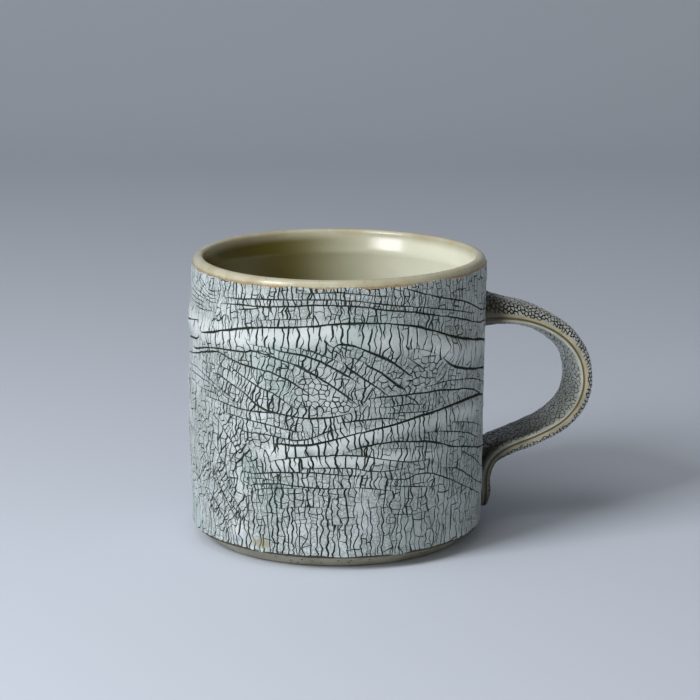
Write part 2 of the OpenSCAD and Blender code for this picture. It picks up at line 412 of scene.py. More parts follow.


# %% [markdown]
# A smooth line through the given points is a Catmull-Rom curve. Real slip tears unevenly, so each
# point is moved a little by noise.

# %% Long cracks on to the grid
def smooth_line(points, step):
    """A curve through the points, with a point about every step."""
    ends = [points[0]] + points + [points[-1]]
    line = []
    for a, b, c, d in zip(ends, ends[1:], ends[2:], ends[3:]):
        parts = max(1, int(math.dist(b, c) / step))
        for i in range(parts):
            t = i / parts
            line.append(tuple(
                0.5 * (2 * b[k] + (c[k] - a[k]) * t + (2 * a[k] - 5 * b[k] + 4 * c[k] - d[k]) * t * t
                       + (3 * b[k] - a[k] - 3 * c[k] + d[k]) * t * t * t)
                for k in (0, 1)))
    return line + [points[-1]]


def torn(points, reach):
    return [(x + wobble(x, y + 90, 1.7, reach), y + wobble(x + 40, y, 1.7, reach)) for x, y in points]


long_cracks = []
for width, picked in STROKES:
    flat = [(deg / 360 * ROUND, height) for deg, height in picked]
    line = torn(smooth_line(flat, 0.9), 0.22)
    long_cracks.append(line)
    add_crack(line, 1.15 * width, start=0.1, end=0.1, taper_over=4.5)
print(len(cracks), "long cracks,", total_length(), "mm")

# %% [markdown]
# Patches that dried evenly shrink the same in all directions, which gives many-sided cells. They are
# the cells of a Voronoi diagram: scatter points, join them into triangles, and link the centres of the
# circles round neighbouring triangles.

# %% Edges of many-sided cells
def circle_centre(a, b, c):
    """The centre of the circle through three points, or None where they lie in a line."""
    d = 2 * (a[0] * (b[1] - c[1]) + b[0] * (c[1] - a[1]) + c[0] * (a[1] - b[1]))
    if abs(d) < 1e-6:
        return None
    aa, bb, cc = (p[0] ** 2 + p[1] ** 2 for p in (a, b, c))
    return ((aa * (b[1] - c[1]) + bb * (c[1] - a[1]) + cc * (a[1] - b[1])) / d,
            (aa * (c[0] - b[0]) + bb * (a[0] - c[0]) + cc * (b[0] - a[0])) / d)


def cell_edges(points):
    """Edges of the cells round scattered points, each as two ends."""
    made, _, faces, _, _, _ = delaunay_2d_cdt(points, [], [], 0, 1e-6, False)
    centres = [circle_centre(*(made[i] for i in face)) for face in faces]
    seen, edges = {}, []
    for number, face in enumerate(faces):
        for a, b in zip(face, face[1:] + face[:1]):
            other = seen.setdefault((min(a, b), max(a, b)), number)
            if other != number and centres[other] and centres[number]:
                edges.append((centres[other], centres[number]))
    return edges


def halfway(p, q):
    return (p[0] + q[0]) / 2, (p[1] + q[1]) / 2


# %% Patches of many-sided cells
PATCHES = [
    # degrees, height, half width in degrees, half height, size of a cell
    (-9, 52, 7, 5.0, 1.6), (2, 48, 8, 2.6, 1.5), (21, 54, 6, 4.0, 1.9), (34, 56.5, 8, 5.0, 1.9),
    (-28, 61.8, 6, 1.6, 1.4), (-30, 37, 6, 3.4, 2.2),
    (-64, 38, 8, 4.0, 2.2), (-74, 17, 8, 7.0, 2.3), (-50, 41.5, 6, 2.5, 2.0),
    (120, 42, 13, 4.0, 2.2), (178, 46, 14, 6.0, 2.3), (212, 40, 10, 5.0, 2.4), (240, 27, 13, 8.0, 2.6),
    (148, 60, 12, 4.0, 2.4),
]
JITTER = 0.36


def degrees_off(x, deg):
    """How far round from a direction a point of the wall lies, -180 to 180."""
    return (x / ROUND * 360 - deg + 180) % 360 - 180


def in_patch(x, y, share=1.0):
    """Whether a point lies in a patch, or in the given share of one about its middle."""
    for deg, height, half_deg, half_height, cell in PATCHES:
        across = degrees_off(x, deg) / (half_deg * share)
        if across ** 2 + ((y - height) / (half_height * share)) ** 2 < 1:
            return True
    return False


def scatter(x0, x1, y0, y1, cell):
    """Points a cell apart over a box, in staggered rows, each moved at random."""
    points = []
    for i in range(int((x1 - x0) / cell) + 3):
        for j in range(int((y1 - y0) / cell) + 3):
            shift = 0.5 * (j % 2)
            points.append(Vector((x0 + (i - 1 + shift + dice.uniform(-JITTER, JITTER)) * cell,
                                  y0 + (j - 1 + dice.uniform(-JITTER, JITTER)) * cell)))
    return points


def on_long_crack(spot):
    return 0 < marks[square_at(*spot)] <= len(STROKES)


before = len(cracks)
for deg, height, half_deg, half_height, cell in PATCHES:
    cx, half_x, kept, ends = deg / 360 * ROUND, half_deg / 360 * ROUND, [], {}
    box = (cx - half_x, cx + half_x, height - half_height, height + half_height)
    for p, q in cell_edges(scatter(*box, cell)):
        middle = halfway(p, q)
        spread = ((middle[0] - cx) / half_x) ** 2 + ((middle[1] - height) / half_height) ** 2
        size = math.dist(p, q)
        if spread > 1 + dice.uniform(-0.15, 0.1) or size < 0.25 or size > 3 * cell:
            continue
        if on_long_crack(middle) or not SLIP_LOW < min(p[1], q[1]) < max(p[1], q[1]) < SLIP_HIGH:
            continue
        kept.append((p, q))
        for end in (p, q):
            ends[end] = ends.get(end, 0) + 1
    for p, q in kept:
        x, y = halfway(p, q)
        middle = (x + dice.gauss(0, 0.12), y + dice.gauss(0, 0.12))
        start, end = (end_at(ends[e] > 1 or marks[square_at(*e)]) for e in (p, q))
        add_crack([p, middle, q], dice.uniform(0.22, 0.4), start, end)
print(len(cracks) - before, "cell edges in patches")

# %% [markdown]
# A growing crack looks about it. It can ask whether another crack lies near in some direction, how
# much room it has ahead, and where exactly it met the crack that stopped it.

# %% What a growing crack can see
LOOK_PAST, LOOK_STEP, LOOKS = 0.8, 0.1, 18


def marked(x, y, heading, reach, start=1):
    """Distance to a crack that lies within reach along a heading, or 0."""
    cx, cy = math.cos(heading) * SQUARE, math.sin(heading) * SQUARE
    for i in range(start, int(reach / SQUARE) + 1):
        if marks[square_at(x + i * cx, y + i * cy)]:
            return i * SQUARE
    return 0.0


def middle_of_mark(p, q):
    """Where a step from p to q meets the middle of a marked crack."""
    way = math.atan2(q[1] - p[1], q[0] - p[0])
    size, on = math.dist(p, q), []
    for i in range(1, LOOKS):
        reach = size + LOOK_PAST - i * LOOK_STEP
        spot = (p[0] + reach * math.cos(way), p[1] + reach * math.sin(way))
        if marks[square_at(*spot)]:
            on.append(reach)
        elif on:
            break
    reach = sum(on) / len(on) if on else size
    return p[0] + reach * math.cos(way), p[1] + reach * math.sin(way)


def far_side(x):
    """The back of the cup and a strip at the front's edge have larger flakes."""
    return not -63 <= degrees_off(x, 0) <= 97


def room(x, y, heading, most):
    """Free length from a point along a heading."""
    for i in range(4, int(most / SQUARE)):
        px, py = x + i * SQUARE * math.cos(heading), y + i * SQUARE * math.sin(heading)
        if py < SLIP_LOW - 1.2 or py > SLIP_HIGH + 1.2 or marks[square_at(px, py)]:
            return i * SQUARE
    return most


def clear(x, y, heading, side):
    """Whether the slip on both sides of a start is still whole."""
    px, py = x + 1.0 * math.cos(heading), y + 1.0 * math.sin(heading)
    return not any(marked(px, py, heading + turn, side, 0) for turn in (-math.pi / 2, math.pi / 2))


# %% [markdown]
# Short cracks start on a long one and run across the band below or above it. They wander a little,
# lean away from a neighbour that comes near, and stop where the grid says that another crack is in
# the way. A crack relieves the slip beside it, so a new one doesn't start close to another.

# %% How a crack grows
STEP = 0.85
UP, DOWN = math.pi / 2, -math.pi / 2
LOW_START = SLIP_LOW - 1.1
HIGH_START = SLIP_HIGH + 1.1
SHARPEST = 0.65
KEPT_SWING = 0.35
PULL_BACK = 0.45
SHY_WITHIN, SHYNESS = 1.15, 0.35
SETTLING = 0.16
LEAVES_OWN = 2.5


def grow(start, heading, reach, free=1.0, wander=0.3, settle=None):
    """Walk from start. Gives the points, and whether the walk met another crack.

    Cracks are crossed within the free length. The heading turns slowly towards settle, if given.
    """
    x, y = start
    own = marks[square_at(x, y)]
    points, swing, strayed = [start], 0.0, 0.0
    for i in range(int(reach / STEP)):
        swing = KEPT_SWING * swing + dice.gauss(0, wander) - PULL_BACK * strayed
        for hand in (-1, 1) if i else ():
            near = marked(x, y, heading + hand * math.pi / 2, 1.0, 2)
            if near:
                swing -= hand * SHYNESS * (SHY_WITHIN - near)
        swing = max(-SHARPEST, min(SHARPEST, swing))
        strayed += STEP * math.sin(swing)
        x += STEP * math.cos(heading + swing)
        y += STEP * math.sin(heading + swing)
        if settle is not None:
            heading += SETTLING * (settle - heading)
        if (y <= SLIP_LOW and math.sin(heading) < 0.5) or (y >= SLIP_HIGH and math.sin(heading) > -0.5):
            points.append((x, min(max(y, LOW_START), HIGH_START)))
            return points, True
        points.append((x, y))
        found, gone = marks[square_at(x, y)], (i + 1) * STEP
        stops = gone > free or (i > 1 and found > len(STROKES))
        if found and stops and (found != own or gone > LEAVES_OWN):
            points[-1] = middle_of_mark(points[-2], (x, y))
            return points, True
    return points, False


# %% Short cracks across the bands
WIDEST = 0.52
NARROW_BAND, TALL_BAND = 4.2, 12
FAR_SIDE_SPREAD = 2.1
TRY_AGAIN = 0.2
UNEVEN_WIDTHS = (0.7, 0.85, 0.95, 1.0, 1.1, 1.5)


def lean_of(x0, y0, x1, y1, upward):
    """How far square to a line leans from upright."""
    square_on = math.atan2(y1 - y0, x1 - x0) + math.pi / 2
    if (math.sin(square_on) > 0) != upward:
        square_on += math.pi
    return square_on, (square_on - (UP if upward else DOWN) + math.pi) % (2 * math.pi) - math.pi


def start_short(x, y, way, lean, upward, fine):
    """Try to start a crack. Gives the wait until the next one, and whether this one grew."""
    upright = UP if upward else DOWN
    narrow = room(x, y, way, 6) < NARROW_BAND
    share, most = (0.85, 0.8) if narrow else (0.4, 0.26)
    heading = upright + max(-most, min(most, share * lean)) + 0.1 * wobble(x, y, 12.0, 1.0)
    gap = room(x, y, heading, 24)
    lap = thick(x, y + 1.5 * math.sin(heading))
    close = 1.2 + 0.17 * min(gap, 7.5) - (0.5 if gap > TALL_BAND else 0)
    close *= (FAR_SIDE_SPREAD if far_side(x) else 1.0) * (0.92 + 0.62 * lap)
    too_small = gap < 1.0 or (fine and (gap < 1.8 or far_side(x)))
    if too_small or not clear(x, y, heading, close * (0.3 if fine else 0.52)):
        return TRY_AGAIN, False
    wait = close * dice.uniform(0.75, 1.2)
    short = fine or (gap > 4 and dice.random() < 0.12)
    reach = gap * dice.uniform(0.25, 0.75) if short else gap + 4
    width = 0.26 + 0.03 * min(gap, 7) - (0.04 if gap > TALL_BAND else 0)
    width *= (1 + 0.5 * lap) * dice.choice(UNEVEN_WIDTHS)
    points, met = grow((x, y), heading, reach, settle=None if narrow else upright)
    if len(points) > 2:
        add_crack(points, min(0.8 * width if fine else width, WIDEST), end=end_at(met))
    return wait, len(points) > 2


def cross_band(line, upward, fine=False):
    """Grow short cracks off one side of a line, closer together where the band is narrow."""
    wait, made = dice.uniform(0, 1.0), 0
    for (x0, y0), (x1, y1) in zip(line, line[1:]):
        way, lean = lean_of(x0, y0, x1, y1, upward)
        parts = max(1, int(math.dist((x0, y0), (x1, y1)) / 0.2))
        for part in range(parts):
            x, y = x0 + (x1 - x0) * part / parts, y0 + (y1 - y0) * part / parts
            wait -= math.dist((x0, y0), (x1, y1)) / parts
            if wait > 0 or in_patch(x, y + (0.8 if upward else -0.8), 0.85):
                continue
            wait, grew = start_short(x, y, way, lean, upward, fine)
            made += grew
    return made


def cross_rows(height, heading, apart, through, reach):
    """Wide cracks that opened before the fine rows did and run straight through them."""
    x, made = -ROUND / 2 + dice.uniform(0, 2), 0
    while x < ROUND / 2:
        if clear(x, height, heading, 1.0) and not in_patch(x, height):
            turned = heading + dice.gauss(0, 0.04)
            points, met = grow((x, height), turned, reach * dice.uniform(0.7, 1.25), free=through)
            add_crack(points, dice.uniform(0.28, 0.42), end=end_at(met))
            made += 1
        x += apart * dice.uniform(0.7, 1.35) * (1.5 if far_side(x) else 1.0)
    return made


through = cross_rows(HIGH_START, DOWN, 4.4, 7.0, 12) + cross_rows(LOW_START, UP, 4.6, 12.0, 22)
print(through, "cracks through the fine rows")
top_line, foot_line = ([(ROUND * i / 300 - ROUND / 2, height) for i in range(301)]
                       for height in (HIGH_START, LOW_START))
downward = sum(cross_band(line, False) for line in [top_line] + long_cracks)
upward = sum(cross_band(line, True) for line in [foot_line] + long_cracks)
print(downward, "short cracks downward,", upward, "upward")

# %% [markdown]
# Some places are still bare. Wherever the slip is whole on both sides of a point, a crack opens there
# and grows both ways.

# %% Cracks in the bare places
APART, LEVEL = 1.1, 2.4
before = len(cracks)
for number in range(int(ROUND / APART)):
    for level in range(int((SLIP_HIGH - SLIP_LOW) / LEVEL)):
        x = (number + dice.uniform(-0.4, 0.4)) * APART
        y = SLIP_LOW + (level + 0.5 + dice.uniform(-0.4, 0.4)) * LEVEL
        beside_crack = marked(x, y, 0, 0.95) or marked(x, y, math.pi, 0.95)
        if marks[square_at(x, y)] or in_patch(x, y, 0.85) or beside_crack:
            continue
        if thick(x, y) > dice.uniform(0.0, 0.6) or (far_side(x) and dice.random() < 0.8):
            continue
        down, met_low = grow((x, y), DOWN, 9, free=0.4)
        up, met_high = grow((x, y), UP, 9, free=0.4)
        line = down[::-1] + up[1:]
        if len(line) > 3:
            add_crack(line, dice.uniform(0.24, 0.38), end_at(met_low), end_at(met_high))
print(len(cracks) - before, "cracks in bare places")

# %% [markdown]
# Tall cells still stand between the uprights. Short links between neighbours close them off into
# blocks about as tall as they are wide, and a few fine cracks end in the middle of a flake.

# %% Links and loose ends
def wants_link(x, y):
    """Fewer links where the slip is thick, on the far side and near the foot."""
    if thick(x, y) > dice.uniform(0.1, 0.9):
        return False
    if far_side(x) and dice.random() < 0.55:
        return False
    return not (y < 15 and dice.random() < 0.5)


def add_link(x, y):
    """Grow a level crack to the next upright, or part of the way."""
    heading = dice.choice((0.0, math.pi)) + dice.uniform(-0.3, 0.3)
    gap = room(x, y, heading, 5)
    upright = heading + math.pi / 2
    middle = (x + 0.6 * gap * math.cos(heading), y + 0.6 * gap * math.sin(heading))
    if gap < 0.9 or marked(*middle, upright, 0.7, 0) or marked(*middle, upright + math.pi, 0.7, 0):
        return
    loose = dice.random() < 0.2
    line, met = grow((x, y), heading, gap * 0.5 if loose else 5, free=0.4, wander=0.2)
    if len(line) > (1 if met else 2) and (met or loose):
        add_crack(line, dice.uniform(0.2, 0.32), end=end_at(met))


before = len(cracks)
for points, _, _ in list(cracks):
    wait = dice.uniform(0.8, 3.0)
    for (x0, y0), (x1, y1) in zip(points, points[1:]):
        wait -= math.dist((x0, y0), (x1, y1))
        if wait > 0 or abs(y1 - y0) < abs(x1 - x0):
            continue
        wait = dice.uniform(1.3, 3.4)
        if wants_link(x0, y0):
            add_link(x0, y0)
stubs = sum(cross_band(line, way, fine=True) for line in long_cracks for way in (False, True))
print(len(cracks) - before, "links and", stubs, "stubs;", total_length(), "mm in all")

# %% [markdown]
# ## From map to mesh
# Every crack is three lines: its middle, and an edge on each side. All the lines go into one flat
# triangulation that must keep them, so where cracks cross, new points appear by themselves. A point
# on a middle line is at the bottom of the crack, and one on an edge is level with the slip. That makes
# each crack a clean V groove with only as many triangles as it needs.

# %% Helpers for lines
def thin_out(points, halves, slack=0.1):
    """Drop points that lie within slack of the straight line between their neighbours."""
    kept, last = [0], 0
    for i in range(2, len(points)):
        (ax, ay), (bx, by) = points[last], points[i]
        size = math.dist((ax, ay), (bx, by)) or 1.0
        far = max(abs((bx - ax) * (ay - y) - (ax - x) * (by - ay)) / size for x, y in points[last + 1:i])
        if far > slack:
            last = i - 1
            kept.append(last)
    kept.append(len(points) - 1)
    return [points[i] for i in kept], [halves[i] for i in kept]


def beside(points, halves, hand):
    """The line's own points moved sideways by the half width."""
    moved = []
    for i, (x, y) in enumerate(points):
        a, b = points[max(i - 1, 0)], points[min(i + 1, len(points) - 1)]
        size = math.dist(a, b) or 1.0
        reach = hand * halves[i]
        moved.append((x - reach * (b[1] - a[1]) / size, y + reach * (b[0] - a[0]) / size))
    return moved


def clip_line(points, limit):
    """The parts of a line whose x lies within a limit on both sides."""
    parts, part = [], []
    for i, (x, y) in enumerate(points):
        inside = abs(x) <= limit
        if i and inside != (abs(points[i - 1][0]) <= limit):
            px, py = points[i - 1]
            wall_x = math.copysign(limit, x if not inside else px)
            t = (wall_x - px) / (x - px)
            part.append((wall_x, py + (y - py) * t))
            if not inside:
                parts.append(part)
                part = []
        if inside:
            part.append((x, y))
    return [p for p in parts + [part] if len(p) > 1]


def between(value):
    """The value, kept between 0 and 1."""
    return min(1.0, max(0.0, value))


# %% A flat sheet of cracks
class Sheet:
    """Lines gathered for one flat triangulation, closed on itself after a given distance round.

    Points nearer each other than merge_within become one.
    """

    SEAM_GAP = 0.13
    SPOT_STEP = 0.1
    FIELD_REACH = 0.42
    FAINTEST = 0.15
    BEYOND = 1.5
    PASSES = 3
    DARK, SMALLEST, MISFIT, ADD_WITHIN = 0.3, 0.05, 0.2, 0.32

    def __init__(self, distance_round, merge_within):
        self.half = distance_round / 2
        self.merge_within = merge_within
        self.points, self.edges = [], []
        self.spots, self.spot_half, self.spot_depth = [], [], []

    def line(self, points):
        base = len(self.points)
        self.points.extend(Vector(p) for p in points)
        self.edges.extend((base + i, base + i + 1) for i in range(len(points) - 1))

    def row(self, y, count):
        self.line([(-self.half + 2 * self.half * i / count, y) for i in range(count + 1)])

    def rows(self, start, end, steps, count, first=1):
        """Level rows from start to end, the first of them one step in unless told otherwise."""
        for i in range(first, steps + 1):
            self.row(start + (end - start) * i / steps, count)

    def seam(self, spacing):
        """The same points up both sides, so that the closed sheet matches itself."""
        ends = sorted({round(p.y, 4) for p in self.points if abs(abs(p.x) - self.half) < 1e-3})
        ups = [ends[0]]
        for y in ends[1:]:
            parts = max(1, int((y - ups[-1]) / spacing))
            start = ups[-1]
            ups += [start + (y - start) * i / parts for i in range(1, parts + 1)]
        for x in (-self.half, self.half):
            self.line([(x, y) for y in ups])

    def crack(self, points, halves, width, depth):
        """Lay a crack, and its part beyond the seam at the other side of the sheet."""
        points, halves = thin_out(points, halves)
        for shift in (-2 * self.half, 0, 2 * self.half):
            moved = [(x + shift, y) for x, y in points]
            across = [x for x, y in moved]
            if max(across) < -self.half - self.BEYOND or min(across) > self.half + self.BEYOND:
                continue
            for hand in (0, 1, -1):
                for part in clip_line(beside(moved, halves, hand), self.half - self.SEAM_GAP):
                    self.line(part)
            for (p, h0), (q, h1) in zip(zip(moved, halves), zip(moved[1:], halves[1:])):
                steps = max(1, int(math.dist(p, q) / self.SPOT_STEP))
                for i in range(steps + 1):
                    t = i / steps
                    self.spots.append((p[0] + (q[0] - p[0]) * t, p[1] + (q[1] - p[1]) * t))
                    self.spot_half.append(h0 + (h1 - h0) * t)
                    self.spot_depth.append(depth(min(2 * self.spot_half[-1], width)))

    def field(self, x, y):
        """Share of crack and depth at any point of the sheet."""
        share = depth = 0.0
        for _, i, gap in self.near.find_range((x, y, 0), self.FIELD_REACH):
            half = self.spot_half[i]
            value = (1 - gap / half) * between((half - 0.04) / 0.05)
            if value > share:
                share, depth = value, value * self.spot_depth[i]
        return (share, depth) if share > self.FAINTEST else (0.0, 0.0)

    def smear(self, f, points, values):
        """A point to add where a triangle reaches from a crack's bottom far into a flake, or None."""
        dark = max(f, key=lambda i: values[i][0])
        if values[dark][0] < self.DARK:
            return None
        a, b, c = (points[i] for i in f)
        if abs((b.x - a.x) * (c.y - a.y) - (b.y - a.y) * (c.x - a.x)) < self.SMALLEST:
            return None
        cx, cy = (a.x + b.x + c.x) / 3, (a.y + b.y + c.y) / 3
        if sum(values[i][0] for i in f) / 3 - self.field(cx, cy)[0] < self.MISFIT:
            return None
        start = points[dark]
        reach = min(1.0, self.ADD_WITHIN / math.dist((cx, cy), start[:]))
        x, y = start.x + (cx - start.x) * reach, start.y + (cy - start.y) * reach
        return Vector((x, y)) if abs(x) < self.half - 0.1 else None

    def triangulate(self):
        """Triangles that keep every line, clipped to the sheet, and the cracks' depth at each point.

        A triangle that would smear a crack gets one more point near the crack, and the sheet is
        triangulated again.
        """
        self.near = kdtree.KDTree(len(self.spots))
        for i, (x, y) in enumerate(self.spots):
            self.near.insert((x, y, 0), i)
        self.near.balance()
        known = {}
        for attempt in range(self.PASSES):
            points, _, faces, _, _, _ = delaunay_2d_cdt(
                self.points, self.edges, [], 0, self.merge_within, False)
            faces = [f for f in faces if all(abs(points[i].x) <= self.half + 1e-3 for i in f)
                     and abs(sum(points[i].x for i in f) / 3) < self.half]
            for p in points:
                if (p.x, p.y) not in known:
                    known[p.x, p.y] = self.field(p.x, p.y)
            values = [known[p.x, p.y] for p in points]
            if attempt < self.PASSES - 1:
                extra = (self.smear(f, points, values) for f in faces)
                self.points += [p for p in extra if p is not None]
        used = sorted({i for f in faces for i in f})
        renumber = {old: new for new, old in enumerate(used)}
        faces = [tuple(renumber[i] for i in f) for f in faces]
        shares, depths = ([values[i][k] for i in used] for k in (0, 1))
        return [points[i] for i in used], faces, shares, depths


# %% [markdown]
# A flake is a set of triangles that hang together and touch no crack. Each flake gets a number, and
# each of its points the way to the flake's middle, which is all that a tree needs to tilt it.

# %% Numbering the flakes
LARGEST_FLAKE = 400


def find_flakes(points, faces, shares, coated):
    """The flake's number and the offset from its middle at each point, and how many flakes."""
    owner, linked = {}, [[] for _ in faces]
    whole = [all(shares[i] == 0 and coated[i] for i in f) for f in faces]
    for number, f in enumerate(faces):
        if whole[number]:
            for a, b in zip(f, f[1:] + f[:1]):
                other = owner.setdefault((min(a, b), max(a, b)), number)
                if other != number:
                    linked[other].append(number)
                    linked[number].append(other)
    flake, middle = [0] * len(points), [(0.0, 0.0)] * len(points)
    seen, count = set(), 0
    for first in range(len(faces)):
        if first in seen or not whole[first]:
            continue
        count += 1
        group, queue = set(), [first]
        seen.add(first)
        while queue:
            now = queue.pop()
            group.update(faces[now])
            for other in linked[now]:
                if other not in seen:
                    seen.add(other)
                    queue.append(other)
        cx, cy = (sum(points[i][k] for i in group) / len(group) for k in (0, 1))
        for i in group:
            flake[i] = 0 if len(group) > LARGEST_FLAKE else count
            middle[i] = (points[i].x - cx, points[i].y - cy)
    return flake, middle, count


# %% [markdown]
# The slip has an uneven edge below the lip and another above the foot. Beyond it the sheet needs only
# plain rows of points: close over the lip and the foot's bevel, where the outline bends, and wide on
# the flat floor and the flat underside.

# %% Lines for the cup
MERGE_WITHIN = 0.045
SHALLOWEST, DEEPER_BY = 0.1, 0.75
EDGE_REACH, EDGE_PARTS = 0.55, 320
FLAT_FLOOR, CORNER_RUN, BEVEL_TOP = 31, 11, 3.6
COAT_T, LIP_COAT_T = 0.4, 0.2


def slip_edge(x, base):
    return base + wobble(x, base * 3, 6.0, EDGE_REACH) + wobble(x, base * 7, 1.5, EDGE_REACH * 0.4)


wall = Sheet(ROUND, MERGE_WITHIN)
for points, halves, width in cracks:
    wall.crack(points, halves, width, lambda size: SHALLOWEST + DEEPER_BY * size)
for base, offset in ((SLIP_LOW, 0.0), (SLIP_LOW, -0.3), (SLIP_HIGH, 0.0), (SLIP_HIGH, 0.2)):
    places = [-ROUND / 2 + ROUND * i / EDGE_PARTS for i in range(EDGE_PARTS + 1)]
    wall.line([(x, slip_edge(x, base) + offset) for x in places])
lip_top = SHEET_LOW + along[max(range(len(section)), key=lambda i: section[i][1])]
bevel = SHEET_LOW + next(s for s, (r, z) in zip(along, section) if r > 36.8)
corner_end = SHEET_HIGH - FLAT_FLOOR
wall.rows(SLIP_HIGH + 0.8, lip_top + 3, 19, 200)
wall.rows(lip_top + 3, corner_end - CORNER_RUN, 15, 120)
wall.rows(corner_end - CORNER_RUN, corner_end, 8, 100)
floor_rows = [(corner_end + FLAT_FLOOR * (i + 1) / 4, count)
              for i, count in enumerate((60, 40, 20, 12))]
foot_rows = [(SHEET_LOW, 12), (SHEET_LOW + 8, 24), (SHEET_LOW + 20, 60), (SHEET_LOW + 31, 120)]
foot_rows += [(bevel - 1, 180)]
for y, count in floor_rows + foot_rows:
    wall.row(y, count)
wall.rows(bevel, BEVEL_TOP, 10, 180, first=0)
wall.seam(0.25)
print(len(wall.points), "points on lines before the triangulation")

# %% [markdown]
# The triangulation gives one sheet for the whole cup, foot centre to floor centre. Each point gets
# its share of crack (0 level, 1 at the bottom) and its depth. Below the slip the clay is bare and lies
# lower by the thickness of the coat. Above it the lip was wiped nearly clean.

# %% Triangulate the cup's sheet
flat_points, flat_faces, crack_share, sink = wall.triangulate()
coated = []
for i, p in enumerate(flat_points):
    low_edge, high_edge = slip_edge(p.x, SLIP_LOW) - 0.06, slip_edge(p.x, SLIP_HIGH) + 0.06
    coated.append(low_edge <= p.y <= high_edge)
    if not coated[i]:
        crack_share[i] = 0.0
    if p.y < low_edge:
        sink[i] = COAT_T * between((p.y - bevel + 1) / 2)
    elif p.y > high_edge:
        sink[i] = LIP_COAT_T * max(0.0, 1 - (p.y - SLIP_HIGH) / 2.2)
flake, middle, flakes = find_flakes(flat_points, flat_faces, crack_share, coated)
print(len(flat_points), "points,", len(flat_faces), "triangles,", flakes, "flakes")

# %% [markdown]
# ## Wrapping the sheet
# Rolling a sheet up is a rule, so Geometry Nodes do it. The tree reads the cup's outline from a
# curve: a point's y says how far along the outline it sits, and its x says how far round the axis.
# Then each point moves along the surface normal: down by its crack's depth, and up by its flake's own
# small lift and tilt, since the flakes of a dried slip curl a little.

# %% Helpers for building node trees
def new_tree(name, inputs):
    tree = bpy.data.node_groups.new(name, "GeometryNodeTree")
    tree.interface.new_socket("Geometry", in_out="INPUT", socket_type="NodeSocketGeometry")
    for label, kind, value in inputs:
        socket = tree.interface.new_socket(label, in_out="INPUT", socket_type=kind)
        if value is not None:
            socket.default_value = value
    tree.interface.new_socket("Geometry", in_out="OUTPUT", socket_type="NodeSocketGeometry")
    return tree, tree.nodes.new("NodeGroupInput").outputs, tree.nodes.new("NodeGroupOutput").inputs


def plug(tree, value, socket):
    """Link an output socket, or set a plain value."""
    if isinstance(value, bpy.types.NodeSocket):
        tree.links.new(value, socket)
    else:
        socket.default_value = value


def sums(tree, operation, a, b=0.0):
    node = tree.nodes.new("ShaderNodeMath")
    node.operation = operation
    plug(tree, a, node.inputs[0])
    plug(tree, b, node.inputs[1])
    return node.outputs[0]


def times(tree, a, *more):
    for b in more:
        a = sums(tree, "MULTIPLY", a, b)
    return a


def plus(tree, a, *more):
    for b in more:
        a = sums(tree, "ADD", a, b)
    return a


def minus(tree, a, b):
    return sums(tree, "SUBTRACT", a, b)


def dot(tree, a, b):
    node = tree.nodes.new("ShaderNodeVectorMath")
    node.operation = "DOT_PRODUCT"
    plug(tree, a, node.inputs[0])
    plug(tree, b, node.inputs[1])
    return node.outputs["Value"]


def join_xyz(tree, x, y, z):
    node = tree.nodes.new("ShaderNodeCombineXYZ")
    for value, socket in zip((x, y, z), node.inputs):
        plug(tree, value, socket)
    return node.outputs[0]


def split_xyz(tree, vector):
    node = tree.nodes.new("ShaderNodeSeparateXYZ")
    plug(tree, vector, node.inputs[0])
    return node.outputs


def named(tree, name, kind="FLOAT"):
    node = tree.nodes.new("GeometryNodeInputNamedAttribute")
    node.data_type = kind
    node.inputs["Name"].default_value = name
    return node.outputs["Attribute"]


def point_place(tree):
    return split_xyz(tree, tree.nodes.new("GeometryNodeInputPosition").outputs[0])


def object_shape(tree, socket):
    """The geometry of the object that an input names."""
    info = tree.nodes.new("GeometryNodeObjectInfo")
    tree.links.new(socket, info.inputs["Object"])
    return info.outputs["Geometry"]


# %% [markdown]
# Both trees end in the same steps, so one function adds them. Points that meet at the seam become
# one. Then the carving: the height of a point above the plain surface is its flake's random lift and
# tilt, less its depth in a crack, plus the slow rise and fall of the wall.

# %% The steps that both trees share
SEAM_MERGE = 0.002 * MM


def random_float(tree, low_value, number, seed):
    """A random number from low_value to 1 for each flake number."""
    node = tree.nodes.new("FunctionNodeRandomValue")
    node.data_type = "FLOAT"
    for socket in (s for s in node.inputs if s.enabled):
        if socket.name in ("Min", "Max"):
            socket.default_value = low_value if socket.name == "Min" else 1.0
        else:
            plug(tree, number if socket.name == "ID" else seed, socket)
    return next(s for s in node.outputs if s.enabled)


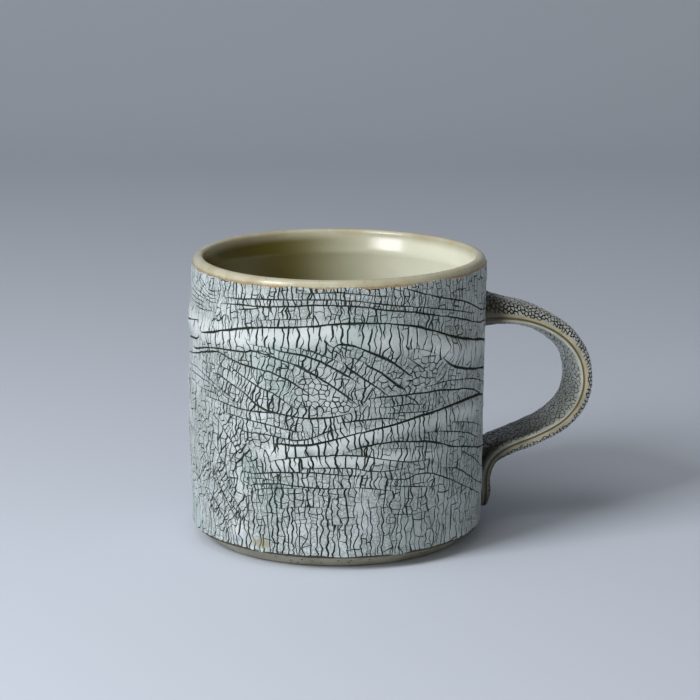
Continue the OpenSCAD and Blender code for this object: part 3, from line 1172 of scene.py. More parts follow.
def carve_and_paint(tree, inputs, position, lowest_lift, output):
    """Lay the points, close the seam, carve the cracks, lift the flakes and set the finish."""
    laid = tree.nodes.new("GeometryNodeSetPosition")
    tree.links.new(inputs["Geometry"], laid.inputs["Geometry"])
    tree.links.new(position, laid.inputs["Position"])
    merge = tree.nodes.new("GeometryNodeMergeByDistance")
    merge.inputs["Distance"].default_value = SEAM_MERGE
    tree.links.new(laid.outputs[0], merge.inputs["Geometry"])
    number = named(tree, "flake", "INT")
    lift = times(tree, random_float(tree, lowest_lift, number, inputs["Seed"]), inputs["Flake lift"])
    tilt = [random_float(tree, -1.0, number, plus(tree, inputs["Seed"], more)) for more in (1.0, 2.0)]
    lean = dot(tree, join_xyz(tree, *tilt, 0.0), named(tree, "from middle", "FLOAT_VECTOR"))
    raised = plus(tree, lift, times(tree, lean, inputs["Flake tilt"]))
    raised = times(tree, raised, sums(tree, "GREATER_THAN", number, 0.5))
    height = plus(tree, minus(tree, raised, named(tree, "sink")), named(tree, "swell"))
    along_normal = tree.nodes.new("ShaderNodeVectorMath")
    along_normal.operation = "SCALE"
    tree.links.new(tree.nodes.new("GeometryNodeInputNormal").outputs[0], along_normal.inputs[0])
    tree.links.new(height, along_normal.inputs["Scale"])
    carved = tree.nodes.new("GeometryNodeSetPosition")
    tree.links.new(merge.outputs[0], carved.inputs["Geometry"])
    tree.links.new(along_normal.outputs["Vector"], carved.inputs["Offset"])
    real = tree.nodes.new("GeometryNodeRealizeInstances")
    tree.links.new(carved.outputs[0], real.inputs[0])
    paint = tree.nodes.new("GeometryNodeSetMaterial")
    tree.links.new(real.outputs[0], paint.inputs["Geometry"])
    tree.links.new(inputs["Finish"], paint.inputs["Material"])
    tree.links.new(paint.outputs[0], output[0])
    print(tree.name, len(tree.nodes), "nodes")


# %% The tree that wraps the sheet round the cup
wrap, inputs, output = new_tree("wrap the sheet round the cup", [
    ("Outline", "NodeSocketObject", None),
    ("Distance round", "NodeSocketFloat", 0.27),
    ("Sheet start", "NodeSocketFloat", 0.0),
    ("Front turn", "NodeSocketFloat", 0.0),
    ("Flake lift", "NodeSocketFloat", 0.0001),
    ("Flake tilt", "NodeSocketFloat", 0.03),
    ("Finish", "NodeSocketMaterial", None),
    ("Seed", "NodeSocketInt", 7),
])
place = point_place(wrap)
share_round = sums(wrap, "DIVIDE", place[0], inputs["Distance round"])
turn = plus(wrap, times(wrap, share_round, 2 * math.pi), inputs["Front turn"])
sample = wrap.nodes.new("GeometryNodeSampleCurve")
sample.mode = "LENGTH"
sample.use_all_curves = True
wrap.links.new(object_shape(wrap, inputs["Outline"]), sample.inputs["Curves"])
wrap.links.new(minus(wrap, place[1], inputs["Sheet start"]), sample.inputs["Length"])
spot = split_xyz(wrap, sample.outputs["Position"])
radial = plus(wrap, spot[0], named(wrap, "pull"))
ring = [times(wrap, radial, sums(wrap, operation, turn)) for operation in ("COSINE", "SINE")]
carve_and_paint(wrap, inputs, join_xyz(wrap, *ring, spot[2]), -0.5, output)

# %% [markdown]
# A hand-made wall isn't true. The rim is drawn in on one side, flatter at the back, and pushed out to
# a soft corner where the strap was pressed on. The slip is thicker in the broad band, which bulges
# where the strap's root pushed the wall in above it. These slow changes are two numbers per point.

# %% How the wall strays from true
PULL_FROM = 30
SWELLS = [
    # degrees, height, half width in degrees, half height, rise
    (49, 60.5, 10, 3.2, 1.5), (46, 67.2, 9, 1.8, -0.8), (-84, 63, 9, 3.0, 0.5), (-20, 66, 45, 3.2, 0.22),
    (10, 38, 30, 2.2, 0.18), (-30, 33, 8, 3.0, 0.25), (60, 42, 25, 2.5, 0.2), (-40, 9.2, 4.5, 2.0, 0.9),
    (-31, 6.4, 4.5, 1.6, -0.3), (130, 63, 25, 4, 0.4), (215, 62, 25, 3.5, 0.35), (160, 39, 30, 3, 0.25),
]


def toward(x, deg, power):
    """1 in one direction round the cup, falling to 0 a quarter turn away."""
    return max(0.0, math.cos(math.radians(x / ROUND * 360 - deg))) ** power


def pull(x, y):
    """How far the wall stands out of round, from nothing low down to all of it at the rim."""
    height = y if y < lip_top else 2 * lip_top - y
    where = between((height - PULL_FROM) / (CUP_H - PULL_FROM))
    slow = 0.35 * toward(x, 96, 6) - 1.0 * toward(x, -88, 3) - 0.7 * toward(x, 150, 4)
    corner = 0.8 * toward(x, 88, 8)
    return where ** 1.6 * slow + where ** 3 * corner + where * wobble(x, 500, 30.0, 0.35)


def swell(x, y):
    """How far the slip's surface rises, fading out at the foot and the lip."""
    top = SLIP_HIGH + 4
    if y < 0 or y > top:
        return 0.0
    total = wobble(x, y * 2.2, 9.0, 0.22) + wobble(x + 50, y, 28.0, 0.5) + 0.22 * thick(x, y)
    for deg, height, half_deg, half_height, rise in SWELLS:
        across = degrees_off(x, deg) / half_deg
        total += rise * math.exp(-across ** 2 - ((y - height) / half_height) ** 2)
    return total * between((y - 1) / 6) * between((top - y) / 5)


def olive(x, y):
    """A spot low on the front where the slip is thin and green glaze lies over it."""
    return math.exp(-(degrees_off(x, -30) / 6.5) ** 2 - ((y - 6.6) / 2.2) ** 2)


# %% The cup's flat sheet as a mesh
UV_SIZE = 100


def add_floats(mesh, name, values):
    mesh.attributes.new(name, "FLOAT", "POINT").data.foreach_set("value", values)


def add_vectors(mesh, name, pairs):
    flat = [c for x, y in pairs for c in (x, y, 0.0)]
    mesh.attributes.new(name, "FLOAT_VECTOR", "POINT").data.foreach_set("vector", flat)


def sheet_piece(name, pattern, points, faces, flake, middle, floats):
    """A flat sheet as an object, with its measures named on its points and a UV map of the sheet."""
    mesh = bpy.data.meshes.new(name + " sheet")
    mesh.from_pydata([(p.x * MM, p.y * MM, 0) for p in points], [], faces)
    mesh.update()
    for label, values in floats.items():
        add_floats(mesh, label, values)
    mesh.attributes.new("flake", "INT", "POINT").data.foreach_set("value", flake)
    add_vectors(mesh, "from middle", [(x * MM, y * MM) for x, y in middle])
    layer = mesh.uv_layers.new(name=pattern)
    for loop in mesh.loops:
        p = points[loop.vertex_index]
        layer.data[loop.index].uv = (p.x / UV_SIZE, p.y / UV_SIZE)
    piece = bpy.data.objects.new(name, mesh)
    bpy.context.collection.objects.link(piece)
    print(name, "sheet mesh", len(mesh.vertices), "points", len(mesh.polygons), "triangles")
    return piece


cup = sheet_piece("cup", "wall", flat_points, flat_faces, flake, middle, {
    "crack": crack_share,
    "sink": [s * MM for s in sink],
    "swell": [swell(p.x, p.y) * MM for p in flat_points],
    "pull": [pull(p.x, p.y) * MM for p in flat_points],
    "thick": [thick(p.x, p.y) if 0 < p.y < SLIP_HIGH else 0.0 for p in flat_points],
    "olive": [olive(p.x, p.y) for p in flat_points],
    "coat": [float(c) for c in coated],
    "up": [p.y * MM for p in flat_points],
})

# %% [markdown]
# ## The strap
# A pulled strap: domed outside, flatter inside, with a crease along each edge. It leaves the wall
# level, turns down in a wide loop, comes back to the wall low down and is pressed on as a tail. The
# same four curves that shape the solid carry it here. It is made like the cup: a flat sheet of cracks,
# x round the strap and y along it, wrapped by a node tree that reads the path and the section.

# %% The strap's path, as measures at points along it
REACH, DROP_Z, BEND_Z, TAIL_Z = 31.2, 63.2, 25.3, 5.0
ROOT_W, STRAP_W = 21, 15.6
DOME_H, INNER_H = 3.7, 2.2
TAIL_X = CUP_R + 1.3
CURVE_STEPS = 40


def in_loop(across, up):
    return (CUP_R + across * REACH, BEND_Z + up * (DROP_Z - BEND_Z))


tail_top = (TAIL_X, TAIL_Z + 0.36 * (BEND_Z - TAIL_Z))
tail_mids = [(TAIL_X, share * tail_top[1] + (1 - share) * TAIL_Z) for share in (0.7, 0.3)]
curves = [
    [(CUP_R - 0.6 * WALL_T, DROP_Z), in_loop(0.39, 1.03), in_loop(1, 0.83), in_loop(1, 0.45)],
    [in_loop(1, 0.45), in_loop(1, 0.2), in_loop(0.77, 0.08), in_loop(0.45, 0)],
    [in_loop(0.45, 0), in_loop(0.21, -0.06), (TAIL_X, BEND_Z - 3.4), tail_top],
    [tail_top, *tail_mids, (TAIL_X, TAIL_Z)],
]


def bezier(p, q, r, s, t):
    u = 1 - t
    return tuple(u ** 3 * p[k] + 3 * t * u ** 2 * q[k] + 3 * t * t * u * r[k] + t ** 3 * s[k]
                 for k in (0, 1))


def strap_measures(c, t):
    """The strap's sizes on curve c at a share t along it: root, loop, low bend, tail."""
    past_root = ease(t / 0.9) if c == 0 else 1.0
    flare = (1 - min(t / 0.36, 1)) ** 2.4 if c == 0 else 0.0
    on_tail = (0.0, 0.0, ease(t), 1.0)[c]
    tip = math.sqrt(1 - 0.96 * t ** 3) if c == 3 else 1.0
    return {
        "half width": (ROOT_W - (ROOT_W - STRAP_W) * past_root + 3 * flare) / 2 * (0.4 + 0.6 * tip),
        "outer rise": (DOME_H + 5 * flare) * (1 - 0.45 * on_tail) * tip,
        "inner rise": INNER_H + 0.7 * on_tail + flare,
        "hug": (1 - ease(t / 0.3)) if c == 0 else 0.6 * on_tail,
    }


stops = [(c, i / CURVE_STEPS) for c in range(4) for i in range(0 if c == 0 else 1, CURVE_STEPS + 1)]
path = [bezier(*curves[c], t) for c, t in stops]
measures = [strap_measures(c, t) for c, t in stops]
strap_length = sum(math.dist(a, b) for a, b in zip(path, path[1:]))
print("strap path", len(path), "points", round(strap_length, 1), "mm long")

# %% The strap's section, and the way round it
SECTION_STEPS = 240


def section_point(turn):
    """The strap's section as shares of half width and rise, flatter than an oval."""
    u, v = math.cos(turn), math.sin(turn)
    return math.copysign(abs(u) ** 0.55, u), math.copysign(abs(v) ** 0.7, v)


def measured(points):
    return sum(math.dist(a, b) for a, b in zip(points, points[1:]))


shape = [section_point(math.radians(-90 + 360 * i / SECTION_STEPS)) for i in range(SECTION_STEPS + 1)]
nominal = [(u * STRAP_W / 2, v * (DOME_H if v > 0 else INNER_H)) for u, v in shape]
girth = measured(nominal)
to_edge = measured(nominal[:SECTION_STEPS // 4 + 1])
EDGES = (to_edge - girth / 2, girth / 2 - to_edge)
print("strap", round(girth, 1), "mm round, edges at", [round(e, 1) for e in EDGES])

# %% [markdown]
# The strap's crackle is finer than the wall's, because its slip is thinner and was stretched over a
# tight curve: cells about a millimetre across outside, longer across the inner face, and none on the
# smooth rolled edges, where the glaze ran off the crease and shows the clay's warmer colour.

# %% The strap's cells
strap = Sheet(girth, 0.03)
rng = random.Random(5)
CELL_JITTER = 0.33


def edge_gap(x):
    """Signed distance to the nearest edge line: positive on the outer face."""
    return min((x - EDGES[0], EDGES[1] - x), key=abs)


def strap_noise(x, y, size, reach):
    """Smooth noise that joins up where the sheet closes round the strap."""
    turn = x / girth * 2 * math.pi
    return noise.noise(Vector((math.cos(turn) * 5.5, math.sin(turn) * 5.5, y)) / size) * reach


def strap_cells(cell, stretch, keep):
    """Edges of many-sided cells that close round the strap."""
    columns = int(girth / (cell * stretch))
    points = []
    for j in range(-2, int(strap_length / cell) + 3):
        shift = 0.5 * (j % 2)
        line = [((i + shift + rng.uniform(-CELL_JITTER, CELL_JITTER)) * girth / columns - girth / 2,
                 (j + rng.uniform(-CELL_JITTER, CELL_JITTER)) * cell) for i in range(columns)]
        points += [Vector((x + turn, y)) for turn in (-girth, 0, girth) for x, y in line
                   if abs(x + turn) < girth / 2 + 6]
    return [(p, q) for p, q in cell_edges(points)
            if -girth / 2 <= halfway(p, q)[0] < girth / 2 and 0.2 < math.dist(p, q) < 3 * cell
            and keep(*halfway(p, q))]


def on_outer_face(x, y):
    return edge_gap(x) > 1.3 + strap_noise(x, y + 60, 1.2, 0.9) and 0.5 < y < strap_length - 1


def on_inner_face(x, y):
    return edge_gap(x) < -1.1 + strap_noise(x, y + 60, 1.2, 0.8) and 3 < y < strap_length - 17


outer = strap_cells(1.06, 0.95, on_outer_face)
inner = strap_cells(1.0, 1.9, on_inner_face)
for group, low_width, high_width in ((outer, 0.3, 0.52), (inner, 0.2, 0.3)):
    for p, q in group:
        x, y = halfway(p, q)
        middle_point = (x + rng.gauss(0, 0.06), y + rng.gauss(0, 0.06))
        half = 0.5 * rng.uniform(low_width, high_width)
        strap.crack([p, middle_point, q], [half] * 3, 2 * half, lambda size: 0.06 + 0.8 * size)
print(len(outer), "cell edges outside,", len(inner), "inside")

# %% [markdown]
# Each edge of the strap has a crease, pressed in along a line that wavers a little. Close rows of
# points follow it, so that the groove and the roll beside it come out smooth.

# %% The strap's flat sheet
CREASE_DEPTH, CREASE_HALF = 0.42, 0.4
BESIDE_CREASE = (-2.0, -1.4, -0.9, -0.45, -0.15, 0.15, 0.45, 0.9, 1.4, 2.0)


def crease_line(edge, y):
    return strap_noise(edge * 3, y, 7.0, 0.25)


for y in (-1.5, 0, strap_length - 0.4, strap_length, strap_length + 1.5):
    strap.row(y, 60)
for edge, hand in zip(EDGES, (1, -1)):
    for off in BESIDE_CREASE:
        steps = int(strap_length / (0.7 if abs(off) < 0.5 else 1.0))
        ups = [strap_length * i / steps for i in range(steps + 1)]
        strap.line([(edge + hand * (off + crease_line(edge, y)), y) for y in ups])
strap.seam(0.3)
strap_points, strap_faces, strap_share, strap_sink = strap.triangulate()
edge_at = [edge_gap(p.x) for p in strap_points]
for i, p in enumerate(strap_points):
    from_crease = abs(edge_at[i] - crease_line(EDGES[0] if p.x < 0 else EDGES[1], p.y))
    if abs(edge_at[i]) < 1.0:
        strap_share[i] = 0.0
        strap_sink[i] = 0.0
    strap_sink[i] += CREASE_DEPTH * max(0.0, 1 - (from_crease / CREASE_HALF) ** 2) ** 2
off_edges = [abs(e) > 1.9 for e in edge_at]
strap_flake, strap_middle, count = find_flakes(strap_points, strap_faces, strap_share, off_edges)
print("strap sheet", len(strap_points), "points,", len(strap_faces), "triangles,", count, "flakes")

# %% [markdown]
# The strap's tree reads two guides, chains of points that carry measures. The path says where the
# middle of the strap runs, how wide it is and how far each face rises. The section says how far across
# and how far up each place round it lies. Near the wall the strap hugs the cup's curve.

# %% Reading a guide
def curve_from(tree, socket):
    node = tree.nodes.new("GeometryNodeMeshToCurve")
    tree.links.new(object_shape(tree, socket), node.inputs[0])
    return node.outputs[0]


def read_along(tree, curve, name, kind, mode, where):
    """A named measure of a curve, read at a length or a factor along it."""
    node = tree.nodes.new("GeometryNodeSampleCurve")
    node.mode = mode.upper()
    node.data_type = kind
    node.use_all_curves = True
    tree.links.new(curve, node.inputs["Curves"])
    tree.links.new(named(tree, name, kind), next(s for s in node.inputs if s.name == "Value" and s.enabled))
    tree.links.new(where, node.inputs[mode])
    return node.outputs


# %% The tree that wraps the sheet round the strap
bend, inputs, output = new_tree("wrap the sheet round the strap", [
    ("Path", "NodeSocketObject", None),
    ("Section", "NodeSocketObject", None),
    ("Girth", "NodeSocketFloat", 0.036),
    ("Cup radius", "NodeSocketFloat", 0.043),
    ("Flake lift", "NodeSocketFloat", 0.0001),
    ("Flake tilt", "NodeSocketFloat", 0.05),
    ("Finish", "NodeSocketMaterial", None),
    ("Seed", "NodeSocketInt", 3),
])
place = point_place(bend)
path_curve = curve_from(bend, inputs["Path"])
section_curve = curve_from(bend, inputs["Section"])
share_round = plus(bend, sums(bend, "DIVIDE", place[0], inputs["Girth"]), 0.5)
ring = read_along(bend, section_curve, "shares", "FLOAT_VECTOR", "Factor", share_round)
across, up_share, _ = split_xyz(bend, ring["Value"])
widths = read_along(bend, path_curve, "half width", "FLOAT", "Length", place[1])
rise_out, rise_in, hug = (read_along(bend, path_curve, name, "FLOAT", "Length", place[1])["Value"]
                          for name in ("outer rise", "inner rise", "hug"))
centre = split_xyz(bend, widths["Position"])
way = split_xyz(bend, widths["Tangent"])
full = named(bend, "full")
aside = times(bend, across, widths["Value"], full)
is_outer = sums(bend, "GREATER_THAN", up_share, 0.0)
rise = plus(bend, times(bend, rise_out, is_outer), times(bend, rise_in, minus(bend, 1.0, is_outer)))
rise = times(bend, rise, up_share, full)
radius = inputs["Cup radius"]
curved = sums(bend, "SQRT", minus(bend, times(bend, radius, radius), times(bend, aside, aside)))
press = times(bend, minus(bend, curved, radius), hug)
x_at = minus(bend, plus(bend, centre[0], press), times(bend, way[2], rise))
z_at = plus(bend, centre[2], times(bend, way[0], rise))
carve_and_paint(bend, inputs, join_xyz(bend, x_at, aside, z_at), -0.6, output)


# %% The strap's guides and sheet as meshes
def guide(name, points):
    """A chain of points for a tree to read."""
    mesh = bpy.data.meshes.new(name)
    links = [(i, i + 1) for i in range(len(points) - 1)]
    mesh.from_pydata([(x * MM, 0, z * MM) for x, z in points], links, [])
    chain = bpy.data.objects.new(name, mesh)
    bpy.context.collection.objects.link(chain)
    return chain


def strap_swell(x, y):
    """Slow unevenness left by wet fingers, and the thicker roll along each edge."""
    gap = edge_gap(x)
    roll = 0.16 * math.exp(-((gap - 1.0) / 0.55) ** 2) + 0.2 * math.exp(-((gap + 0.9) / 0.5) ** 2)
    crown = 0.55 * math.exp(-((y - 20) / 12) ** 2) * between(gap / 3)
    uneven = strap_noise(x, y, 11.0, 0.35) + strap_noise(x, y + 30, 4.0, 0.14)
    return (uneven + roll + crown) * between((y - 1) / 5)


path_guide = guide("strap path", path)
for label in measures[0]:
    scale = 1 if label == "hug" else MM
    add_floats(path_guide.data, label, [m[label] * scale for m in measures])
section_guide = guide("strap section", nominal)
add_vectors(section_guide.data, "shares", shape)
handle = sheet_piece("handle", "strap", strap_points, strap_faces, strap_flake, strap_middle, {
    "crack": strap_share,
    "sink": [s * MM for s in strap_sink],
    "swell": [strap_swell(p.x, p.y) * MM for p in strap_points],
    "full": [1.0 if -0.1 < p.y < strap_length + 0.1 else 0.0 for p in strap_points],
    "edge": edge_at,
    "way": [p.y / strap_length for p in strap_points],
})

# %% [markdown]
# ## Finishes
# Colours are written as they look on screen and turned into the linear values that Blender mixes in.
# Most of a finish is one habit: lay a colour over what is there already, where some pattern is strong.

# %% Helpers for finishes
def screen(red, green, blue):
    """A colour given as 0 to 255 on screen, as linear RGBA."""
    parts = [c / 255 for c in (red, green, blue)]
    return tuple(c / 12.92 if c <= 0.04045 else ((c + 0.055) / 1.055) ** 2.4 for c in parts) + (1.0,)


def new_finish(name):
    finish = bpy.data.materials.new(name)
    finish.use_nodes = True
    tree = finish.node_tree
    shader = next(n for n in tree.nodes if n.type == "BSDF_PRINCIPLED")
    return finish, tree, shader.inputs


def lay(tree, under, share, over, strength=None):
    """Lay a colour over another by a share, which a strength may weaken."""
    node = tree.nodes.new("ShaderNodeMix")
    node.data_type = "RGBA"
    plug(tree, share if strength is None else times(tree, share, strength), node.inputs[0])
    plug(tree, screen(*under) if isinstance(under, tuple) else under, node.inputs[6])
    plug(tree, screen(*over) if isinstance(over, tuple) else over, node.inputs[7])
    return node.outputs[2]


def fade(tree, value, low_end, high_end, to_low=0.0, to_high=1.0):
    """A smooth step from to_low to to_high as the value goes from low_end to high_end."""
    node = tree.nodes.new("ShaderNodeMapRange")
    node.interpolation_type = "SMOOTHSTEP"
    plug(tree, value, node.inputs[0])
    for socket, number in zip(list(node.inputs)[1:5], (low_end, high_end, to_low, to_high)):
        socket.default_value = number
    return node.outputs[0]


def cloud(tree, where, scale, detail=3.0):
    node = tree.nodes.new("ShaderNodeTexNoise")
    plug(tree, where, node.inputs["Vector"])
    node.inputs["Scale"].default_value = scale
    node.inputs["Detail"].default_value = detail
    return node.outputs["Fac"]


def patchy(tree, where, scale, low_end, high_end, detail=3.0):
    """Cloud noise pushed apart into patches."""
    return fade(tree, cloud(tree, where, scale, detail), low_end, high_end)


def cells(tree, where, scale, feature="F1", randomness=1.0):
    """Distance to the nearest cell's middle or edge."""
    node = tree.nodes.new("ShaderNodeTexVoronoi")
    node.feature = feature
    plug(tree, where, node.inputs["Vector"])
    node.inputs["Scale"].default_value = scale
    node.inputs["Randomness"].default_value = randomness
    return node.outputs["Distance"]


def attribute(tree, name):
    node = tree.nodes.new("ShaderNodeAttribute")
    node.attribute_name = name
    return node.outputs["Fac"]


def bump(tree, height, distance, strength=1.0, normal=None):
    node = tree.nodes.new("ShaderNodeBump")
    node.inputs["Strength"].default_value = strength
    node.inputs["Distance"].default_value = distance
    plug(tree, height, node.inputs["Height"])
    if normal is not None:
        plug(tree, normal, node.inputs["Normal"])
    return node.outputs[0]


def object_place(tree):
    return tree.nodes.new("ShaderNodeTexCoord").outputs["Object"]


def per_flake(tree):
    """A tone between 0 and 1 that is the same all over a flake."""
    node = tree.nodes.new("ShaderNodeTexWhiteNoise")
    node.noise_dimensions = "1D"
    plug(tree, attribute(tree, "flake"), node.inputs["W"])
    return node.outputs["Value"]


def ragged(tree, value, where, scale, reach):
    """A measure with noise added, so that a line drawn where it crosses a level is uneven."""
    return plus(tree, value, times(tree, minus(tree, cloud(tree, where, scale), 0.5), reach))


# %% [markdown]
# Crackled slip: a cool chalky white over dark clay. Each flake has its own tone, thin patches let the
# clay through as grey-green, and the cracks hold a dark glaze that is green where it pools. Hairlines
# too fine to be modelled cross the flakes where the slip is thin. They are edges of cells on the
# sheet's own map, which has no seam between the flakes.

# %% Crackled slip
slip, tree, shader = new_finish("crackled slip")
where = object_place(tree)
crack = attribute(tree, "crack")
lap = attribute(tree, "thick")
colour = lay(tree, (198, 206, 209), patchy(tree, where, 30.0, 0.35, 0.68), (180, 188, 188))
colour = lay(tree, colour, patchy(tree, where, 95.0, 0.48, 0.75, 4.0), (172, 180, 172), 0.5)
colour = lay(tree, colour, per_flake(tree), (162, 170, 168), 0.45)
colour = lay(tree, colour, lap, (214, 219, 219), 0.7)
stain = patchy(tree, where, 60.0, 0.52, 0.72, 2.0)
colour = lay(tree, colour, stain, (154, 178, 176), 0.36)
# Painted shade: a grey-green halo darkens the slip along each crack's shoulders.
colour = lay(tree, colour, fade(tree, crack, 0.0, 0.22, 0.0, 0.45), (112, 124, 118))
print("slip body", len(tree.nodes), "nodes")

# %% Hairlines and specks in the slip
sheet_place = tree.nodes.new("ShaderNodeUVMap")
sheet_place.uv_map = "wall"
hairs = cells(tree, sheet_place.outputs[0], 96.0, "DISTANCE_TO_EDGE", 0.9)
thin = minus(tree, 1.0, lap)
hair = times(tree, fade(tree, hairs, 0.03, 0.13, 1.0, 0.0), patchy(tree, where, 110.0, 0.4, 0.5, 2.0), thin)
colour = lay(tree, colour, hair, (90, 98, 92), 0.55)
mottled = times(tree, patchy(tree, where, 1300.0, 0.5, 0.66, 2.0), fade(tree, thin, 0.0, 1.0, 0.15, 0.4))
colour = lay(tree, colour, mottled, (120, 130, 124))
dark = lay(tree, (22, 26, 21), cloud(tree, where, 200.0), (46, 54, 45))
dark = lay(tree, dark, stain, (34, 56, 50))
colour = lay(tree, colour, fade(tree, crack, 0.12, 0.45), dark)
glazed = plus(tree, attribute(tree, "olive"), times(tree, cloud(tree, where, 420.0), 0.9))
colour = lay(tree, colour, fade(tree, glazed, 0.95, 1.25, 0.0, 0.8), (150, 147, 116))
plug(tree, colour, shader["Base Color"])
plug(tree, fade(tree, crack, 0.0, 0.4, 0.38, 0.7), shader["Roughness"])
grainy = bump(tree, cloud(tree, where, 700.0, 4.0), 0.00015, 0.6)
plug(tree, bump(tree, hair, 0.0001, -0.7, grainy), shader["Normal"])
print(slip.name, len(tree.nodes), "nodes")

# %% [markdown]
# The glaze inside is a glossy grey-green. Its colour holds painted shade, olive on the inner left
# where the near wall shades it, and painted light, pale on the inner right where the window falls.
# It runs thin and cream on the lip, with a rusty line where lip and slip meet and specks of iron in it.

# %% Celadon glaze
glaze, tree, shader = new_finish("celadon glaze")
where = object_place(tree)
up = attribute(tree, "up")
# Painted light and shade across the inside: pale towards the lit side, olive towards the shaded side.
colour = lay(tree, (224, 224, 206), patchy(tree, where, 40.0, 0.3, 0.7), (212, 213, 190))
painted_shade_olive = lay(tree, (94, 85, 16), patchy(tree, where, 40.0, 0.3, 0.7), (82, 73, 10))
colour = lay(tree, painted_shade_olive, fade(tree, dot(tree, where, tuple(side)), -0.022, 0.034), colour)
cream = lay(tree, (182, 179, 156), patchy(tree, where, 120.0, 0.35, 0.65), (170, 162, 136))
colour = lay(tree, colour, fade(tree, up, (lip_top + 1.2) * MM, (lip_top + 4.5) * MM, 1.0, 0.0), cream)
meeting = ragged(tree, up, where, 900.0, 0.0011)
rust = fade(tree, meeting, (SLIP_HIGH + 0.25) * MM, (SLIP_HIGH + 0.75) * MM, 1.0, 0.0)
colour = lay(tree, colour, rust, (146, 116, 76), 0.7)
specks = fade(tree, cells(tree, where, 900.0), 0.12, 0.26, 1.0, 0.0)
near_line = fade(tree, up, (SLIP_HIGH + 0.6) * MM, (SLIP_HIGH + 3.5) * MM, 1.0, 0.12)
specks = times(tree, specks, patchy(tree, where, 300.0, 0.5, 0.6), near_line)
colour = lay(tree, colour, specks, (92, 62, 34))
plug(tree, colour, shader["Base Color"])
shader["Roughness"].default_value = 0.22
print(glaze.name, len(tree.nodes), "nodes")

# %% [markdown]
# The glaze lies on soft rings that the thrower's fingers left in the wall, so they are noise along
# one line, the way up. Just inside the lip the wall rolls back, which catches the window.

# %% Throwing rings
rings = tree.nodes.new("ShaderNodeTexNoise")
rings.noise_dimensions = "1D"
plug(tree, plus(tree, up, times(tree, cloud(tree, where, 25.0, 1.0), 0.006)), rings.inputs["W"])
rings.inputs["Scale"].default_value = 170.0
rings.inputs["Detail"].default_value = 0.0
smooth = bump(tree, cloud(tree, where, 120.0, 2.0), 0.0004, 0.35)
ringed = bump(tree, rings.outputs["Fac"], 0.0008, 0.25, smooth)
roll = fade(tree, up, (lip_top + 1.4) * MM, (lip_top + 8.5) * MM)
plug(tree, bump(tree, roll, 0.002, 1.0, ringed), shader["Normal"])
print(glaze.name, "with rings", len(tree.nodes), "nodes")

# %% [markdown]
# The foot is bare: warm grey clay with dark grit, matt, and darker in a ragged line under the slip,
# partly painted shade under the slip's edge and partly a rusty line.

# %% Bare clay
clay, tree, shader = new_finish("bare clay")
where = object_place(tree)
colour = lay(tree, (168, 165, 146), patchy(tree, where, 70.0, 0.35, 0.65, 4.0), (138, 135, 117))
colour = lay(tree, colour, fade(tree, cells(tree, where, 420.0), 0.1, 0.22, 0.85, 0.0), (58, 52, 42))
line_up = plus(tree, attribute(tree, "up"), times(tree, cloud(tree, where, 500.0), 0.0009))
# Painted shade under the slip's lower edge, partly a rusty line: a dark ragged band on the clay.
under = fade(tree, line_up, (SLIP_LOW - 1.2) * MM, (SLIP_LOW - 0.6) * MM)
colour = lay(tree, colour, under, (44, 38, 26), 0.9)
plug(tree, colour, shader["Base Color"])
shader["Roughness"].default_value = 0.72
plug(tree, bump(tree, cloud(tree, where, 500.0, 4.0), 0.0003, 0.8), shader["Normal"])
print(clay.name, len(tree.nodes), "nodes")

# %% [markdown]
# On the strap the slip is broken finer and the dark clay shows between. Its rolled edges are glazed
# clay: warm beige outside and paler inside, with an olive line in the crease. The strap is painted
# darker at the root, on the inner face under the low bend and down the tail: painted shade where the
# cup shades it, and at the root some dark glaze pooled as well.

# %% Strap slip
strap_slip, tree, shader = new_finish("strap slip")
where = object_place(tree)
crack, edge, way = (attribute(tree, name) for name in ("crack", "edge", "way"))
colour = lay(tree, (232, 234, 228), patchy(tree, where, 60.0, 0.35, 0.68), (204, 210, 202))
colour = lay(tree, colour, per_flake(tree), (150, 156, 150), 0.5)
colour = lay(tree, colour, fade(tree, crack, 0.0, 0.35), (26, 27, 20))
rough_edge = ragged(tree, edge, where, 500.0, 0.9)
beige = lay(tree, (222, 206, 166), patchy(tree, where, 150.0, 0.4, 0.62), (196, 184, 146))
pale = lay(tree, (234, 232, 212), patchy(tree, where, 150.0, 0.4, 0.62), (216, 212, 186))
outside = times(tree, fade(tree, rough_edge, 0.0, 0.3), fade(tree, rough_edge, 0.8, 1.4, 1.0, 0.0))
inside = times(tree, fade(tree, rough_edge, -0.3, 0.0, 1.0, 0.0), fade(tree, rough_edge, -1.1, -0.6))
colour = lay(tree, colour, outside, beige)
colour = lay(tree, colour, inside, pale)
colour = lay(tree, colour, fade(tree, sums(tree, "ABSOLUTE", edge), 0.14, 0.42, 0.85, 0.0), (84, 76, 40))
# Painted shade at the root, where the cup shades the strap, over some dark pooled glaze.
painted_root_shade_way = plus(tree, way, times(tree, cloud(tree, where, 180.0), 0.05))
colour = lay(tree, colour, fade(tree, painted_root_shade_way, 0.08, 0.15, 0.9, 0.0), (40, 40, 28))
# Painted shade down the tail, which the cup shades.
colour = lay(tree, colour, fade(tree, way, 0.68, 0.84, 0.0, 0.85), (48, 48, 36))
# Painted shade on the inner face under the low bend, near the wall.
painted_shade_under_bend = times(tree, fade(tree, way, 0.54, 0.72, 0.0, 0.8), fade(tree, edge, -2.2, -1.0, 1.0, 0.0))
colour = lay(tree, colour, painted_shade_under_bend, (40, 42, 32))
plug(tree, colour, shader["Base Color"])
plug(tree, fade(tree, crack, 0.0, 0.4, 0.22, 0.6), shader["Roughness"])
plug(tree, bump(tree, cloud(tree, where, 600.0), 0.00015, 0.6), shader["Normal"])
print(strap_slip.name, len(tree.nodes), "nodes")

